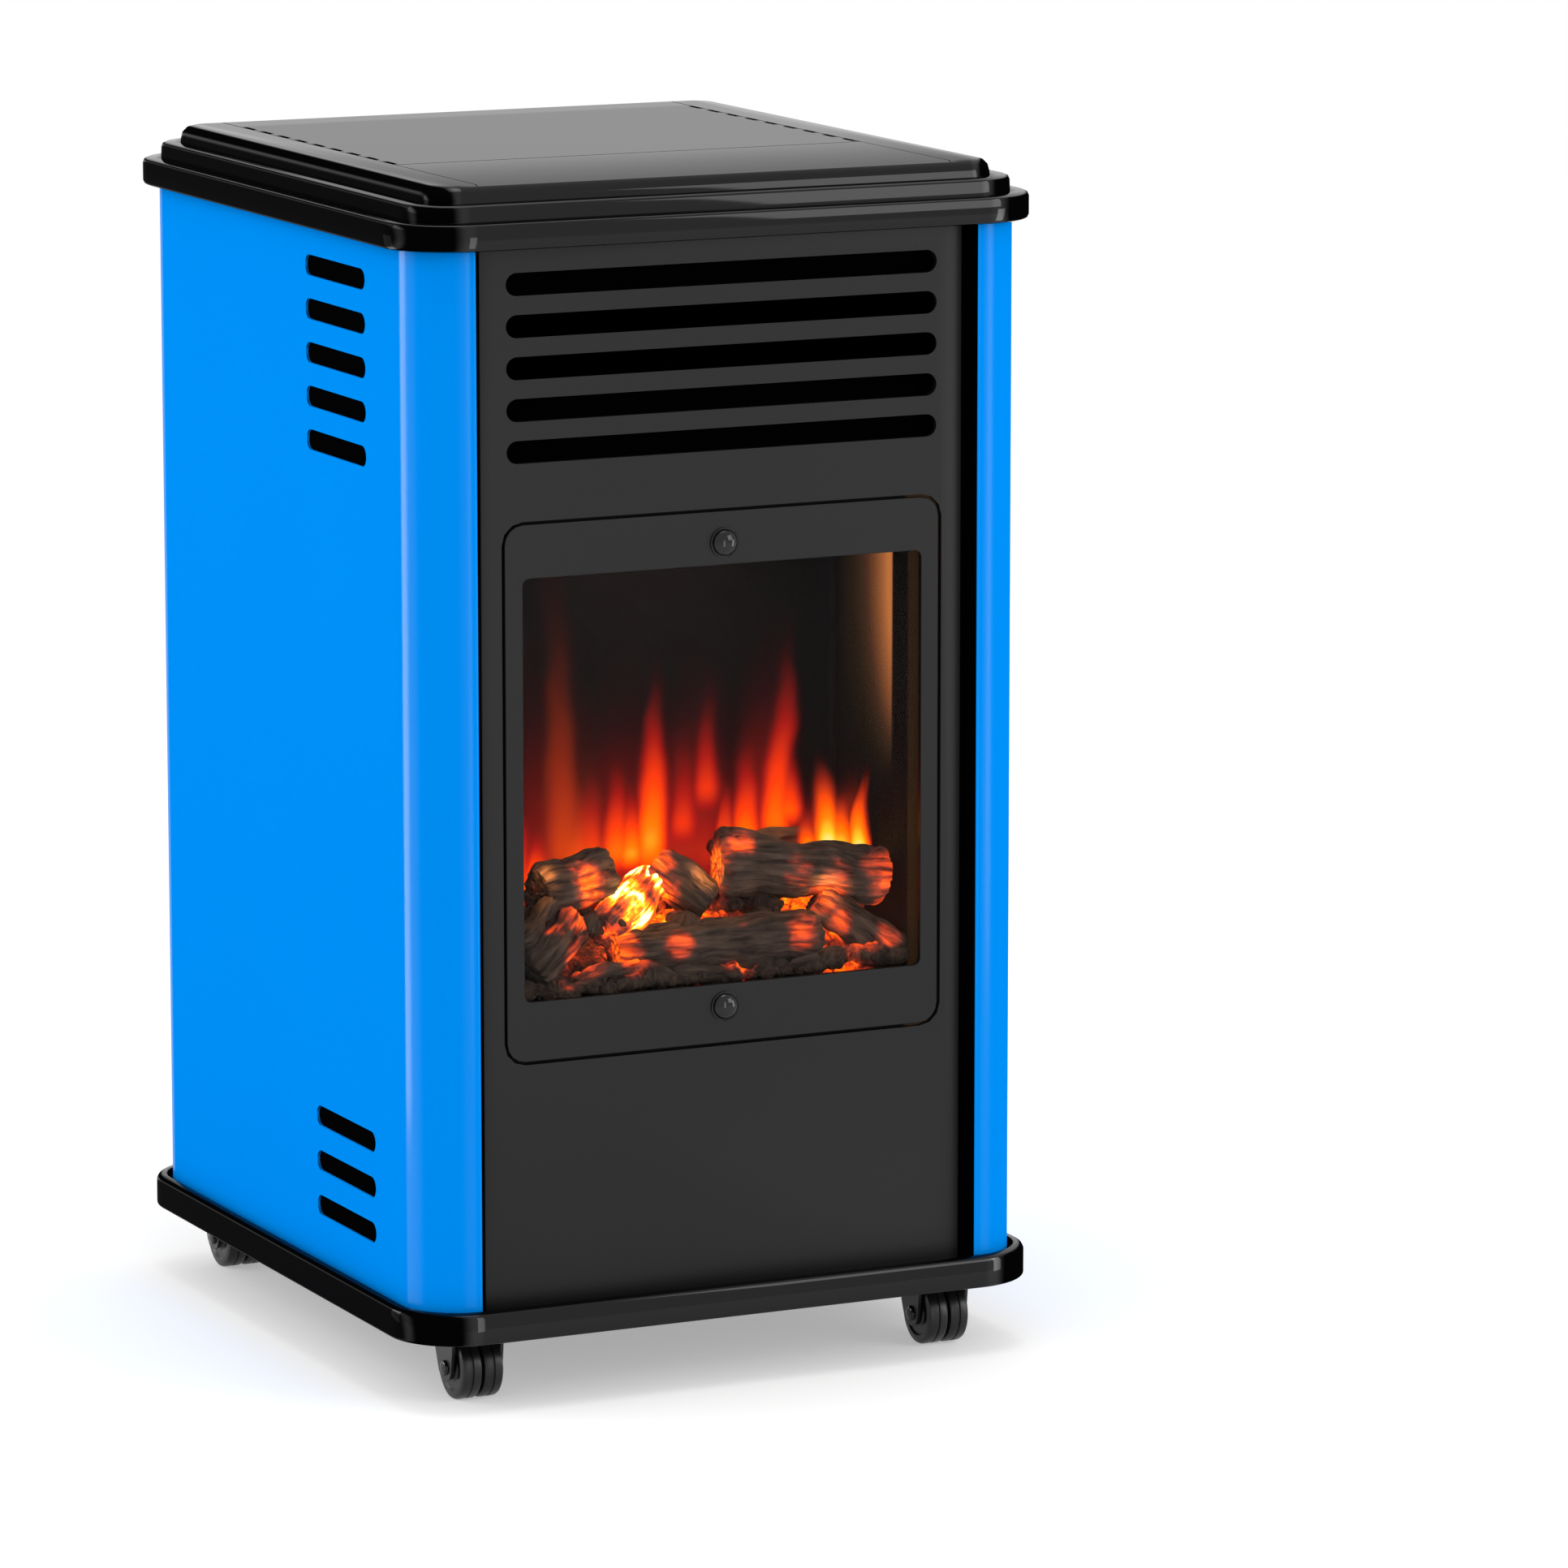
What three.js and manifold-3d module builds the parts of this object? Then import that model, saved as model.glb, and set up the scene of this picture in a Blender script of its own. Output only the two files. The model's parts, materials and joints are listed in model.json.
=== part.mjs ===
// A portable gas cabinet heater on four swivel casters: a sheet-steel cabinet with a stepped cap,
// a glazed firebox with ceramic logs at the front and a bay for the gas bottle behind.
// Millimetres, +Z up, the front faces -Y, the origin is on the floor under the middle.
import * as THREE from "three";
import { mergeVertices } from "three/addons/utils/BufferGeometryUtils.js";
import Module from "manifold-3d";

const wasm = await Module();
wasm.setup();

// ---------------------------------------------------------------- driving dimensions
const GAP = 0.3; // between pieces that seat on each other
const SHEET = 1.5; // sheet steel, as drawn
const OVER = 1; // how far a cutting tool runs past the piece that it cuts

const WIDTH = 430;
const DEPTH = 470;
const BODY_H = 669; // tray's skirt to the cap's rim
const CORNER_R = 45; // tray and cap corners, seen from above

// Base tray.
const WHEEL_CLEAR = 4; // wheel to the tray's skirt
const TRAY_H = 20;
const TRAY_LIP = 4.7; // the lip above the tray's floor
const TRAY_WALL = 2.5;
const TRAY_ROLL = 3.5; // rounding of the lip's outer edge

// Cap, in three tiers.
const CAP_RIM_H = 16.6;
const CAP_STEP_H = 10;
const CAP_TABLE_H = 10.4;
const CAP_STEP_INSET = 12;
const CAP_TABLE_INSET = 24.5;
const CAP_TABLE_R = 8; // rounding of the top tier's edge
const CAP_EDGE_R = 2.8; // rounding of the lower tiers' edges
const CAP_WALL = 2.6;

// Side panels.
const PANEL_INSET = 10.5; // cap edge to the side panels' face
const COLUMN_W = 37; // the rounded column seen from the front
const REAR_RETURN = 12;
const FOLD_R = 2;
const VENT_L = 93.7;
const VENT_H = 13;
const VENT_SETBACK = 131.5; // column's face to the upper vents' middle
const UPPER_VENTS = 5;
const UPPER_VENT_PITCH = 27;
const UPPER_VENT_DROP = 18.5; // cap rim to the first vent
const LOWER_VENTS = 3;
const LOWER_VENT_PITCH = 28.6;
const LOWER_VENT_RISE = 47.3; // tray's skirt to the lowest vent's underside
const LOWER_VENT_SHIFT = 5; // the lower vents stand further forward

// Front panel.
const RECESS = 10; // front panel behind the columns
const PANEL_SIDE_GAP = 5.5; // shadow gap beside the front panel
const COLLAR_D = 4; // depth of a punched edge's collar
const LOUVRE_COUNT = 5;
const LOUVRE_MARGIN = 23; // column to a louvre's end
const LOUVRE_H = 14;
const LOUVRE_PITCH = 25.4;
const LOUVRE_DROP = 16; // cap rim to the first louvre

// Window.
const WINDOW_DROP = 201.9; // cap rim to the glass opening
const WINDOW_H = 261.2;
const WINDOW_R = 4.5;
const FRAME_MARGIN = 21.3; // column to the window frame
const FRAME_SIDE = 11.7; // frame width beside the glass
const FRAME_TOP = 32.9;
const FRAME_BOTTOM = 36.6;
const FRAME_R = 12;
const FRAME_T = 4;
const FRAME_GROOVE = 2;
const GLASS_T = 4;
const GLASS_LAP = 5.4; // glass behind the frame, each side
const DOME_D = 18.5;
const DOME_H = 6;
const DOME_COLLAR = 1.4;
const DOME_OFFSET = 13.8; // glass opening to a dome nut's centre
const STUD_R = 3;

// Firebox and fire.
const FIREBOX_DEPTH = 104;
const FIREBOX_SPLAY = 15; // each side wall leans in towards the back
const FIREBOX_UNDER = 24; // glass opening to the firebox floor
const FIREBOX_OVER = 9;
const FIREBOX_FLANGE = 5; // past the window frame
const FLANGE_LAP = 2; // the columns' inner flange behind the firebox's
const FLUE_W = 190;
const FLUE_D = 34;
const FLUE_H = 30;
const FLUE_SETBACK = 12; // firebox's back to the flue
const BURNER_R = 10;
const BURNER_SETBACK = 36.8; // firebox's back to the burner's middle
const BURNER_PORTS = 7;
const MIXER_R = 7;
const INJECTOR_W = 16;
const BED_GAP = 4.4; // ember bed to the firebox's side walls
const BED_SETBACK = 15.8; // firebox's back to the ember bed
const BED_DROP = 13; // glass opening's foot to the bed's front edge
const BED_CLIMB = 46; // the bed's rise towards the back
const BED_SLOTS = 5;
const LOG_ROOM = 104; // the firebox's depth that the logs' thickness is given for
const PILOT_SETBACK = 8.8; // firebox's back to the pilot's tubes
const PILOT_PITCH = 14;
const PILOT_LIFT = 34; // firebox floor to the pilot's shelf
const LEAD_PITCH = 7;
const LEAD_BEND = 9;

// Lid and the well under it.
const LID_MARGIN = 57; // cap's side to the lid
const LID_FRONT = 155; // cap's front to the lid
const LID_SEAM = 1;
const LID_T = 2.5;
const LID_FLANGE = 6;
const LID_NOTCH_L = 20;
const LID_NOTCH_D = 3.2;
const LID_NOTCH_PITCH = 28.5;
const PIN_D = 4;
const WELL_DEPTH = 55;
const WELL_MARGIN = 7; // lid opening to the well's wall
const WELL_R = 12;

// Controls.
const CONTROL_SETBACK = 118; // well's front wall to the controls' middle
const KNOB_X = 78;
const PIEZO_X = 14;
const KNOB_D = 40;
const KNOB_H = 22;
const KNOB_LOBES = 10;
const KNOB_PUSH = 4;
const SPINDLE_D = 8;
const SPINDLE_RISE = 20; // deck to the spindle's end
const VALVE_H = 34;
const VALVE_PORT = 20; // valve's top to its ports' middle
const BUTTON_D = 13;
const BUTTON_PUSH = 5;
const PIPE_R = 4;

// Rear.
const DOOR_FLANGE = 6;
const DOOR_SLOT_L = 90;
const DOOR_SLOT_W = 16;
const DOOR_LOUVRES = 5;
const KNUCKLE_R = 4;
const KNUCKLE_L = 20;
const TAB_T = 3;
const UPRIGHT_W = 17; // rear frame's uprights

// Casters.
const CASTER_SIDE = 55; // cap's side to a caster's swivel
const CASTER_FRONT = 52;
const CASTER_REAR = 36;
const WHEEL_D = 40;
const WHEEL_W = 13.2;
const TWIN_GAP = 1;
const TRAIL = 4; // axle in front of the swivel, as they stand
const FORK_T = 2;
const FORK_CLEAR = 1.6; // wheel to fork cheek
const FORK_L = 33;
const FORK_ROOF_T = 2.6;
const AXLE_D = 6;
const KINGPIN_D = 8;
const PLATE_SIZE = 40;
const PLATE_T = 2.5;

// ---------------------------------------------------------------- derived places
const GROUND_GAP = WHEEL_D + WHEEL_CLEAR; // floor to the tray's skirt
const TRAY_TOP = GROUND_GAP + TRAY_H;
const TRAY_FLOOR = TRAY_TOP - TRAY_LIP;
const CAP_Z = GROUND_GAP + BODY_H;
const STEP_Z = CAP_Z + CAP_RIM_H;
const TABLE_Z = STEP_Z + CAP_STEP_H;
const TOP_Z = TABLE_Z + CAP_TABLE_H;

const SIDE_X = WIDTH / 2 - PANEL_INSET;
const FACE_Y = DEPTH / 2 - PANEL_INSET;
const COLUMN_X = SIDE_X - COLUMN_W;
const ROUND = Math.min(CORNER_R, PANEL_INSET + COLUMN_W - FOLD_R - OVER / 2); // as far as it fits
const PANEL_R = ROUND - PANEL_INSET;
const PANEL_TOP = STEP_Z - CAP_WALL - GAP;
const FRONT_Y = -FACE_Y + RECESS;

const WINDOW_Z1 = CAP_Z - WINDOW_DROP;
const WINDOW_Z0 = WINDOW_Z1 - WINDOW_H;
const FRAME_X = COLUMN_X - FRAME_MARGIN;
const FRAME_Z0 = WINDOW_Z0 - FRAME_BOTTOM;
const FRAME_Z1 = WINDOW_Z1 + FRAME_TOP;
const WINDOW_X = FRAME_X - FRAME_SIDE;
const DOME_ZS = [WINDOW_Z0 - DOME_OFFSET, WINDOW_Z1 + DOME_OFFSET];

const FIREBOX_Y = FRONT_Y + FRAME_T + GAP;
const BACKING_Y = FIREBOX_Y + SHEET + GAP / 2; // the columns' inner flange
const BACKING_X = FRAME_X + FIREBOX_FLANGE - FLANGE_LAP;
const FIREBOX_BACK = FIREBOX_Y + FIREBOX_DEPTH;
const FIREBOX_FLOOR = WINDOW_Z0 - FIREBOX_UNDER + SHEET;
const FIREBOX_TOP = WINDOW_Z1 + FIREBOX_OVER;
const FIREBOX_X = WINDOW_X + GLASS_LAP + SHEET;
const SHIELD_Y = FIREBOX_BACK + 2;
const BURNER_Y = FIREBOX_BACK - BURNER_SETBACK;
const BURNER_Z = FIREBOX_FLOOR + BURNER_R + GAP;
const BED_X = FIREBOX_X - FIREBOX_SPLAY - BED_GAP;
const BED_FRONT = FIREBOX_Y + GLASS_T + 4;
const BED_BACK = FIREBOX_BACK - BED_SETBACK;
const BED_FOOT = FIREBOX_FLOOR + GAP;
const BURNER_X = BED_X - 10;
const INJECTOR_X = FIREBOX_X + 8;
const PILOT_X = -0.62 * BURNER_X;
const PILOT_Y = FIREBOX_BACK - PILOT_SETBACK;
const LANE_X = INJECTOR_X + 14.6; // the pilot's tubes climb beside the firebox from here outwards

const LID_X = WIDTH / 2 - LID_MARGIN;
const LID_Y0 = -DEPTH / 2 + LID_FRONT;
const LID_AXIS_Y = DEPTH / 2 - CAP_TABLE_INSET - CAP_TABLE_R;
const LID_AXIS_Z = TOP_Z - CAP_TABLE_R;
const RIM_Z = TOP_Z - LID_FLANGE - GAP; // the ledge that the lid's flanges rest on
const DECK_Z = TOP_Z - WELL_DEPTH;
const DECK_TOP = DECK_Z + SHEET;
const DECK_X = LID_X + LID_SEAM - WELL_MARGIN - 1;
const DECK_Y0 = LID_Y0 - LID_SEAM + WELL_MARGIN + 1;
const DECK_Y1 = LID_AXIS_Y - 20;
const CONTROL_Y = DECK_Y0 + CONTROL_SETBACK;
const VALVE_TOP = DECK_Z - GAP;
const SPINDLE_FOOT = VALVE_TOP - 12;
const PORT_Z = VALVE_TOP - VALVE_PORT;
const KNOB_Z = DECK_TOP + KNOB_PUSH + 1;

const DOOR_AXIS_X = -COLUMN_X + 5.5;
const DOOR_AXIS_Y = FACE_Y + KNUCKLE_R + 1;
const TAB_LOW = TRAY_TOP + 1; // hinge tabs of the rear frame
const TAB_HIGH = CAP_Z - 10;
const DOOR_Z0 = TAB_LOW + TAB_T + 1;
const DOOR_Z1 = TAB_HIGH - 1;
const DOOR_MID = (DOOR_Z0 + DOOR_Z1) / 2;

const CASTER_X = WIDTH / 2 - CASTER_SIDE;
const AXLE_Z = WHEEL_D / 2;
const FORK_X = WHEEL_W + TWIN_GAP / 2 + FORK_CLEAR; // inner face of a fork cheek
const FORK_ROOF = GROUND_GAP;
const PLATE_Z = TRAY_FLOOR - TRAY_WALL - GAP;

const FINISHES = {
  gloss_black: { color: 0x101012, roughness: 0.22, metalness: 0.0 },
  satin_black: { color: 0x2a2b2c, roughness: 0.45, metalness: 0.2 },
  inner_black: { color: 0x1a1a1b, roughness: 0.6, metalness: 0.1 },
  blue_enamel: { color: 0x0090fa, roughness: 0.2, metalness: 0.0 },
  firebox_steel: { color: 0x2c2624, roughness: 0.5, metalness: 0.6 },
  zinc_steel: { color: 0xa6a8a9, roughness: 0.4, metalness: 0.9 },
  glass: { color: 0x2a2422, roughness: 0.05, metalness: 0.0 },
  black_chrome: { color: 0x1c1c1e, roughness: 0.12, metalness: 0.8 },
  charred_ceramic: { color: 0x4a3a30, roughness: 0.9, metalness: 0.0 },
  ember_ceramic: { color: 0x7a2c12, roughness: 0.9, metalness: 0.0 },
  brass: { color: 0xb58a3c, roughness: 0.35, metalness: 0.9 },
  aluminium: { color: 0xb4b6b8, roughness: 0.45, metalness: 0.9 },
  moulded_black: { color: 0x1d1d1f, roughness: 0.5, metalness: 0.0 },
  white_ceramic: { color: 0xe6e2d8, roughness: 0.35, metalness: 0.0 },
};

// ---------------------------------------------------------------- solids
// A closed three.js geometry as a manifold solid, turned the right way out.
function solid(geometry) {
  const bare = new THREE.BufferGeometry();
  bare.setAttribute("position", geometry.getAttribute("position"));
  bare.setIndex(geometry.index);
  const merged = mergeVertices(bare, 1e-3);
  const source = merged.index.array;
  const position = merged.getAttribute("position");
  const faces = [];
  let volume = 0;
  const [a, b, c] = [new THREE.Vector3(), new THREE.Vector3(), new THREE.Vector3()];
  for (let i = 0; i < source.length; i += 3) {
    const [p, q, r] = [source[i], source[i + 1], source[i + 2]];
    if (p === q || q === r || r === p) continue;
    a.fromBufferAttribute(position, p);
    b.fromBufferAttribute(position, q);
    c.fromBufferAttribute(position, r);
    volume += a.dot(b.cross(c));
    faces.push(p, q, r);
  }
  if (volume < 0) faces.reverse();
  const mesh = new wasm.Mesh({
    numProp: 3,
    vertProperties: new Float32Array(position.array),
    triVerts: new Uint32Array(faces),
  });
  return new wasm.Manifold(mesh);
}

function add(...solids) {
  return solids.reduce((sum, next) => sum.add(next));
}

function cut(body, ...tools) {
  return tools.reduce((left, tool) => left.subtract(tool), body);
}

function mirrored(body) {
  return body.mirror([1, 0, 0]);
}

// Box between two corners.
function box(x0, x1, y0, y1, z0, z1) {
  const geometry = new THREE.BoxGeometry(x1 - x0, y1 - y0, z1 - z0);
  geometry.translate((x0 + x1) / 2, (y0 + y1) / 2, (z0 + z1) / 2);
  return solid(geometry);
}

// The two ends, in rising order, of a span from near to far on one side of the middle.
function span(side, near, far) {
  return side > 0 ? [near, far] : [-far, -near];
}

// Places evenly spread from -half to half.
function spread(count, half) {
  return Array.from({ length: count }, (_, i) => -half + (2 * half * i) / (count - 1));
}

// Closed outline through corners [x, y, radius, steps], each turned by an arc of its radius.
function outline(corners, usual = 4) {
  const points = [];
  corners.forEach(([x, y, radius = 0, steps = usual], i) => {
    const corner = new THREE.Vector2(x, y);
    if (!radius) {
      points.push(corner);
      return;
    }
    const before = corners[(i + corners.length - 1) % corners.length];
    const after = corners[(i + 1) % corners.length];
    const back = new THREE.Vector2(before[0] - x, before[1] - y).normalize();
    const on = new THREE.Vector2(after[0] - x, after[1] - y).normalize();
    const half = Math.acos(THREE.MathUtils.clamp(back.dot(on), -1, 1)) / 2;
    const middle = back.clone().add(on).normalize();
    const centre = middle.multiplyScalar(radius / Math.sin(half)).add(corner);
    const start = back.multiplyScalar(radius / Math.tan(half)).add(corner).sub(centre);
    const end = on.multiplyScalar(radius / Math.tan(half)).add(corner).sub(centre);
    let sweep = end.angle() - start.angle();
    sweep = THREE.MathUtils.euclideanModulo(sweep + Math.PI, 2 * Math.PI) - Math.PI;
    for (let k = 0; k <= steps; k++) {
      const arm = new THREE.Vector2(radius, 0);
      arm.rotateAround(new THREE.Vector2(), start.angle() + (sweep * k) / steps);
      points.push(arm.add(centre));
    }
  });
  return new THREE.Shape(points);
}

function roundedRect(x0, x1, y0, y1, radius, steps) {
  const corners = [
    [x0, y0, radius],
    [x1, y0, radius],
    [x1, y1, radius],
    [x0, y1, radius],
  ];
  return outline(corners, steps);
}

// A slot with round ends.
function stadium(length, height, x, y, steps = 2) {
  const radius = Math.min(length, height) / 2 - 0.01;
  const [dx, dy] = [length / 2, height / 2];
  return roundedRect(x - dx, x + dx, y - dy, y + dy, radius, steps);
}

function circle(radius, x = 0, y = 0, sides = 16) {
  const points = [];
  for (let k = 0; k < sides; k++) {
    const angle = (2 * Math.PI * k) / sides;
    points.push(new THREE.Vector2(x + radius * Math.cos(angle), y + radius * Math.sin(angle)));
  }
  return new THREE.Shape(points);
}

function extrusion(shape, depth) {
  return new THREE.ExtrudeGeometry(shape, { depth, bevelEnabled: false, steps: 1 });
}

// A shape drawn in X and Y, raised along Z.
function alongZ(shape, z0, z1) {
  return solid(extrusion(shape, z1 - z0).translate(0, 0, z0));
}

// A shape drawn in X and Z, run along Y.
function alongY(shape, y0, y1) {
  return solid(extrusion(shape, y1 - y0).rotateX(Math.PI / 2).translate(0, y1, 0));
}

// A shape drawn in Y and Z, run along X.
function alongX(shape, x0, x1) {
  const turn = new THREE.Matrix4().set(0, 0, 1, 0, 1, 0, 0, 0, 0, 1, 0, 0, 0, 0, 0, 1);
  return solid(extrusion(shape, x1 - x0).applyMatrix4(turn).translate(x0, 0, 0));
}

// A profile of [radius, height] points turned about Z.
function turned(profile, sides = 16, closed = false) {
  const points = profile.map(([r, h]) => new THREE.Vector2(r, h));
  if (closed) points.push(points[0].clone());
  return new THREE.LatheGeometry(points, sides).rotateX(Math.PI / 2);
}

// A path of straight runs whose rings stand at its own points, and not at equal steps.
class BentPath extends THREE.Curve {
  constructor(points) {
    super();
    this.points = points;
  }
  getPoint(t, target = new THREE.Vector3()) {
    const at = t * (this.points.length - 1);
    const i = THREE.MathUtils.clamp(Math.floor(at), 0, this.points.length - 2);
    return target.lerpVectors(this.points[i], this.points[i + 1], at - i);
  }
  getUtoTmapping(u) {
    return u;
  }
}

// A round bar through corners that are bent over a length of each run.
function pipe(corners, radius, sides = 5, bend = LEAD_BEND) {
  const at = corners.map((corner) => new THREE.Vector3(...corner));
  const points = [at[0]];
  for (let i = 1; i + 1 < at.length; i++) {
    const ends = [at[i - 1], at[i + 1]].map((other) => {
      const run = other.clone().sub(at[i]);
      const reach = Math.min(bend, 0.45 * run.length());
      return run.setLength(reach).add(at[i]);
    });
    const curve = new THREE.QuadraticBezierCurve3(ends[0], at[i], ends[1]);
    points.push(...curve.getPoints(2));
  }
  points.push(at[at.length - 1]);
  const settings = { steps: points.length - 1, extrudePath: new BentPath(points), bevelEnabled: false };
  return solid(new THREE.ExtrudeGeometry(circle(radius, 0, 0, sides), settings));
}

// Rounded rectangles that keep an inset from the cap's outline, [inset, z] each, joined into a body.
function loft(levels, cornerSteps = 4) {
  const rings = levels.map(([inset, z]) => {
    const [x, y] = [WIDTH / 2 - inset, DEPTH / 2 - inset];
    const radius = Math.max(ROUND - inset, 3);
    const corners = roundedRect(-x, x, -y, y, radius, cornerSteps).getPoints();
    return corners.slice(0, 4 * (cornerSteps + 1)).map((p) => [p.x, p.y, z]);
  });
  const count = rings[0].length;
  const index = [];
  for (let level = 0; level + 1 < rings.length; level++)
    for (let k = 0; k < count; k++) {
      const [a, b] = [level * count + k, level * count + ((k + 1) % count)];
      index.push(a, b, b + count, a, b + count, a + count);
    }
  const last = (rings.length - 1) * count;
  for (let k = 1; k + 1 < count; k++) {
    index.push(0, k + 1, k);
    index.push(last, last + k, last + k + 1);
  }
  const geometry = new THREE.BufferGeometry();
  geometry.setAttribute("position", new THREE.Float32BufferAttribute(rings.flat(2), 3));
  geometry.setIndex(index);
  return solid(geometry);
}

// ---------------------------------------------------------------- the scene graph
const heater = new THREE.Group();

function piece(name, body, finish, group = heater) {
  const made = body.getMesh();
  const geometry = new THREE.BufferGeometry();
  geometry.setAttribute("position", new THREE.Float32BufferAttribute(made.vertProperties, 3));
  geometry.setIndex(new THREE.Uint32BufferAttribute(made.triVerts, 1));
  const mesh = new THREE.Mesh(geometry, new THREE.MeshStandardMaterial(FINISHES[finish]));
  mesh.name = name;
  group.add(mesh);
  return mesh;
}

// ---------------------------------------------------------------- cabinet
// The base tray is a pan with a skirt, a floor and a rolled lip that the panels stand inside.
function baseTray() {
  const edge = 1;
  const outer = loft([
    [edge, GROUND_GAP],
    [0, GROUND_GAP + edge],
    [0, TRAY_TOP - TRAY_ROLL],
    [0.3 * TRAY_ROLL, TRAY_TOP - 0.35 * TRAY_ROLL],
    [0.9 * TRAY_ROLL, TRAY_TOP],
  ]);
  const under = loft([
    [TRAY_WALL, GROUND_GAP - OVER],
    [TRAY_WALL, TRAY_FLOOR - TRAY_WALL],
  ]);
  const well = loft([
    [PANEL_INSET - 2.5, TRAY_FLOOR],
    [PANEL_INSET - 3.5, TRAY_TOP + OVER],
  ]);
  return cut(outer, under, well);
}

// Middles [y, z] of the vents in a side panel.
function ventPlaces() {
  const places = [];
  const y = -FACE_Y + VENT_SETBACK;
  for (let i = 0; i < UPPER_VENTS; i++)
    places.push([y, CAP_Z - UPPER_VENT_DROP - VENT_H / 2 - i * UPPER_VENT_PITCH]);
  for (let i = 0; i < LOWER_VENTS; i++)
    places.push([y - LOWER_VENT_SHIFT, GROUND_GAP + LOWER_VENT_RISE + VENT_H / 2 + i * LOWER_VENT_PITCH]);
  return places;
}

// One sheet folded round the front and rear corners, with the vents punched through its side.
function sidePanel() {
  const [x, y, t] = [SIDE_X, FACE_Y, SHEET];
  const cornerSteps = 6;
  const foldSteps = 2;
  const plan = outline([
    [BACKING_X, BACKING_Y],
    [COLUMN_X, BACKING_Y],
    [COLUMN_X, -y, FOLD_R, foldSteps],
    [x, -y, PANEL_R, cornerSteps],
    [x, y, PANEL_R, cornerSteps],
    [COLUMN_X, y, FOLD_R, foldSteps],
    [COLUMN_X, y - REAR_RETURN],
    [COLUMN_X + t, y - REAR_RETURN],
    [COLUMN_X + t, y - t, FOLD_R - t, foldSteps],
    [x - t, y - t, PANEL_R - t, cornerSteps],
    [x - t, -y + t, PANEL_R - t, cornerSteps],
    [COLUMN_X + t, -y + t, FOLD_R - t, foldSteps],
    [COLUMN_X + t, BACKING_Y + t],
    [BACKING_X, BACKING_Y + t],
  ]);
  const sheet = alongZ(plan, TRAY_FLOOR + GAP, PANEL_TOP);
  const punches = ventPlaces().map(([vy, vz]) =>
    alongX(stadium(VENT_L, VENT_H, vy, vz), x - t - OVER, x + OVER),
  );
  return cut(sheet, ...punches);
}

// The front panel is a shallow pan with collared louvres and a collared hole for the window frame.
function frontPanel() {
  const x = COLUMN_X - PANEL_SIDE_GAP;
  const back = BACKING_Y - GAP;
  const plan = outline([
    [-x, FRONT_Y, FOLD_R / 2],
    [x, FRONT_Y, FOLD_R / 2],
    [x, back],
    [x - SHEET, back],
    [x - SHEET, FRONT_Y + SHEET],
    [-x + SHEET, FRONT_Y + SHEET],
    [-x + SHEET, back],
    [-x, back],
  ], 2);
  const pan = alongZ(plan, TRAY_FLOOR + GAP, STEP_Z);
  const [front, middle] = [FRONT_Y - OVER, FRONT_Y + SHEET / 2];
  const around = (grow) => {
    const edge = FRAME_GROOVE + grow;
    const [hx, r] = [FRAME_X + edge, FRAME_R + edge];
    return roundedRect(-hx, hx, FRAME_Z0 - edge, FRAME_Z1 + edge, r, 3);
  };
  const collar = alongY(around(SHEET), middle, FRONT_Y + COLLAR_D);
  const hole = alongY(around(0), front, FRONT_Y + COLLAR_D + OVER);
  const length = 2 * (COLUMN_X - LOUVRE_MARGIN);
  const louvres = [];
  const lips = [];
  for (let i = 0; i < LOUVRE_COUNT; i++) {
    const z = CAP_Z - LOUVRE_DROP - LOUVRE_H / 2 - i * LOUVRE_PITCH;
    lips.push(alongY(stadium(length + 2, LOUVRE_H + 2, 0, z), middle, FRONT_Y + COLLAR_D));
    louvres.push(alongY(stadium(length, LOUVRE_H, 0, z), front, FRONT_Y + COLLAR_D + OVER));
  }
  return cut(add(pan, collar, ...lips), hole, ...louvres);
}

// The rear frame: two uprights behind the columns' edges, a head rail with its shelf, and hinge tabs.
function rearFrame() {
  const [x, y] = [COLUMN_X - GAP, FACE_Y - REAR_RETURN - 2];
  const [z0, z1] = [TRAY_FLOOR + GAP, CAP_Z - 4];
  const inner = x - 3;
  const outer = inner + UPRIGHT_W;
  const depth = 14;
  const railH = 18;
  const uprights = [-1, 1].flatMap((side) => {
    const face = box(...span(side, inner, outer), y - SHEET, y, z0, z1);
    const cheek = box(...span(side, inner, inner + SHEET), y - depth, FACE_Y - DOOR_FLANGE - GAP, z0, z1);
    return [face, cheek];
  });
  const rail = box(-outer, outer, y - SHEET, y, z1 - railH, z1);
  const shelf = box(-x + 2, x - 2, y - depth, y, z1 - SHEET, z1);
  const tabs = [TAB_LOW, TAB_HIGH].map((z) => {
    const tab = box(-x + 1.5, DOOR_AXIS_X + KNUCKLE_R, y - 6, DOOR_AXIS_Y, z, z + TAB_T);
    const eye = alongZ(circle(KNUCKLE_R, DOOR_AXIS_X, DOOR_AXIS_Y, 10), z, z + TAB_T);
    const bore = alongZ(circle(PIN_D / 2 + GAP, DOOR_AXIS_X, DOOR_AXIS_Y, 10), z - OVER, z + TAB_T + OVER);
    return cut(add(tab, eye), bore);
  });
  return add(...uprights, rail, shelf, ...tabs);
}

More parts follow.
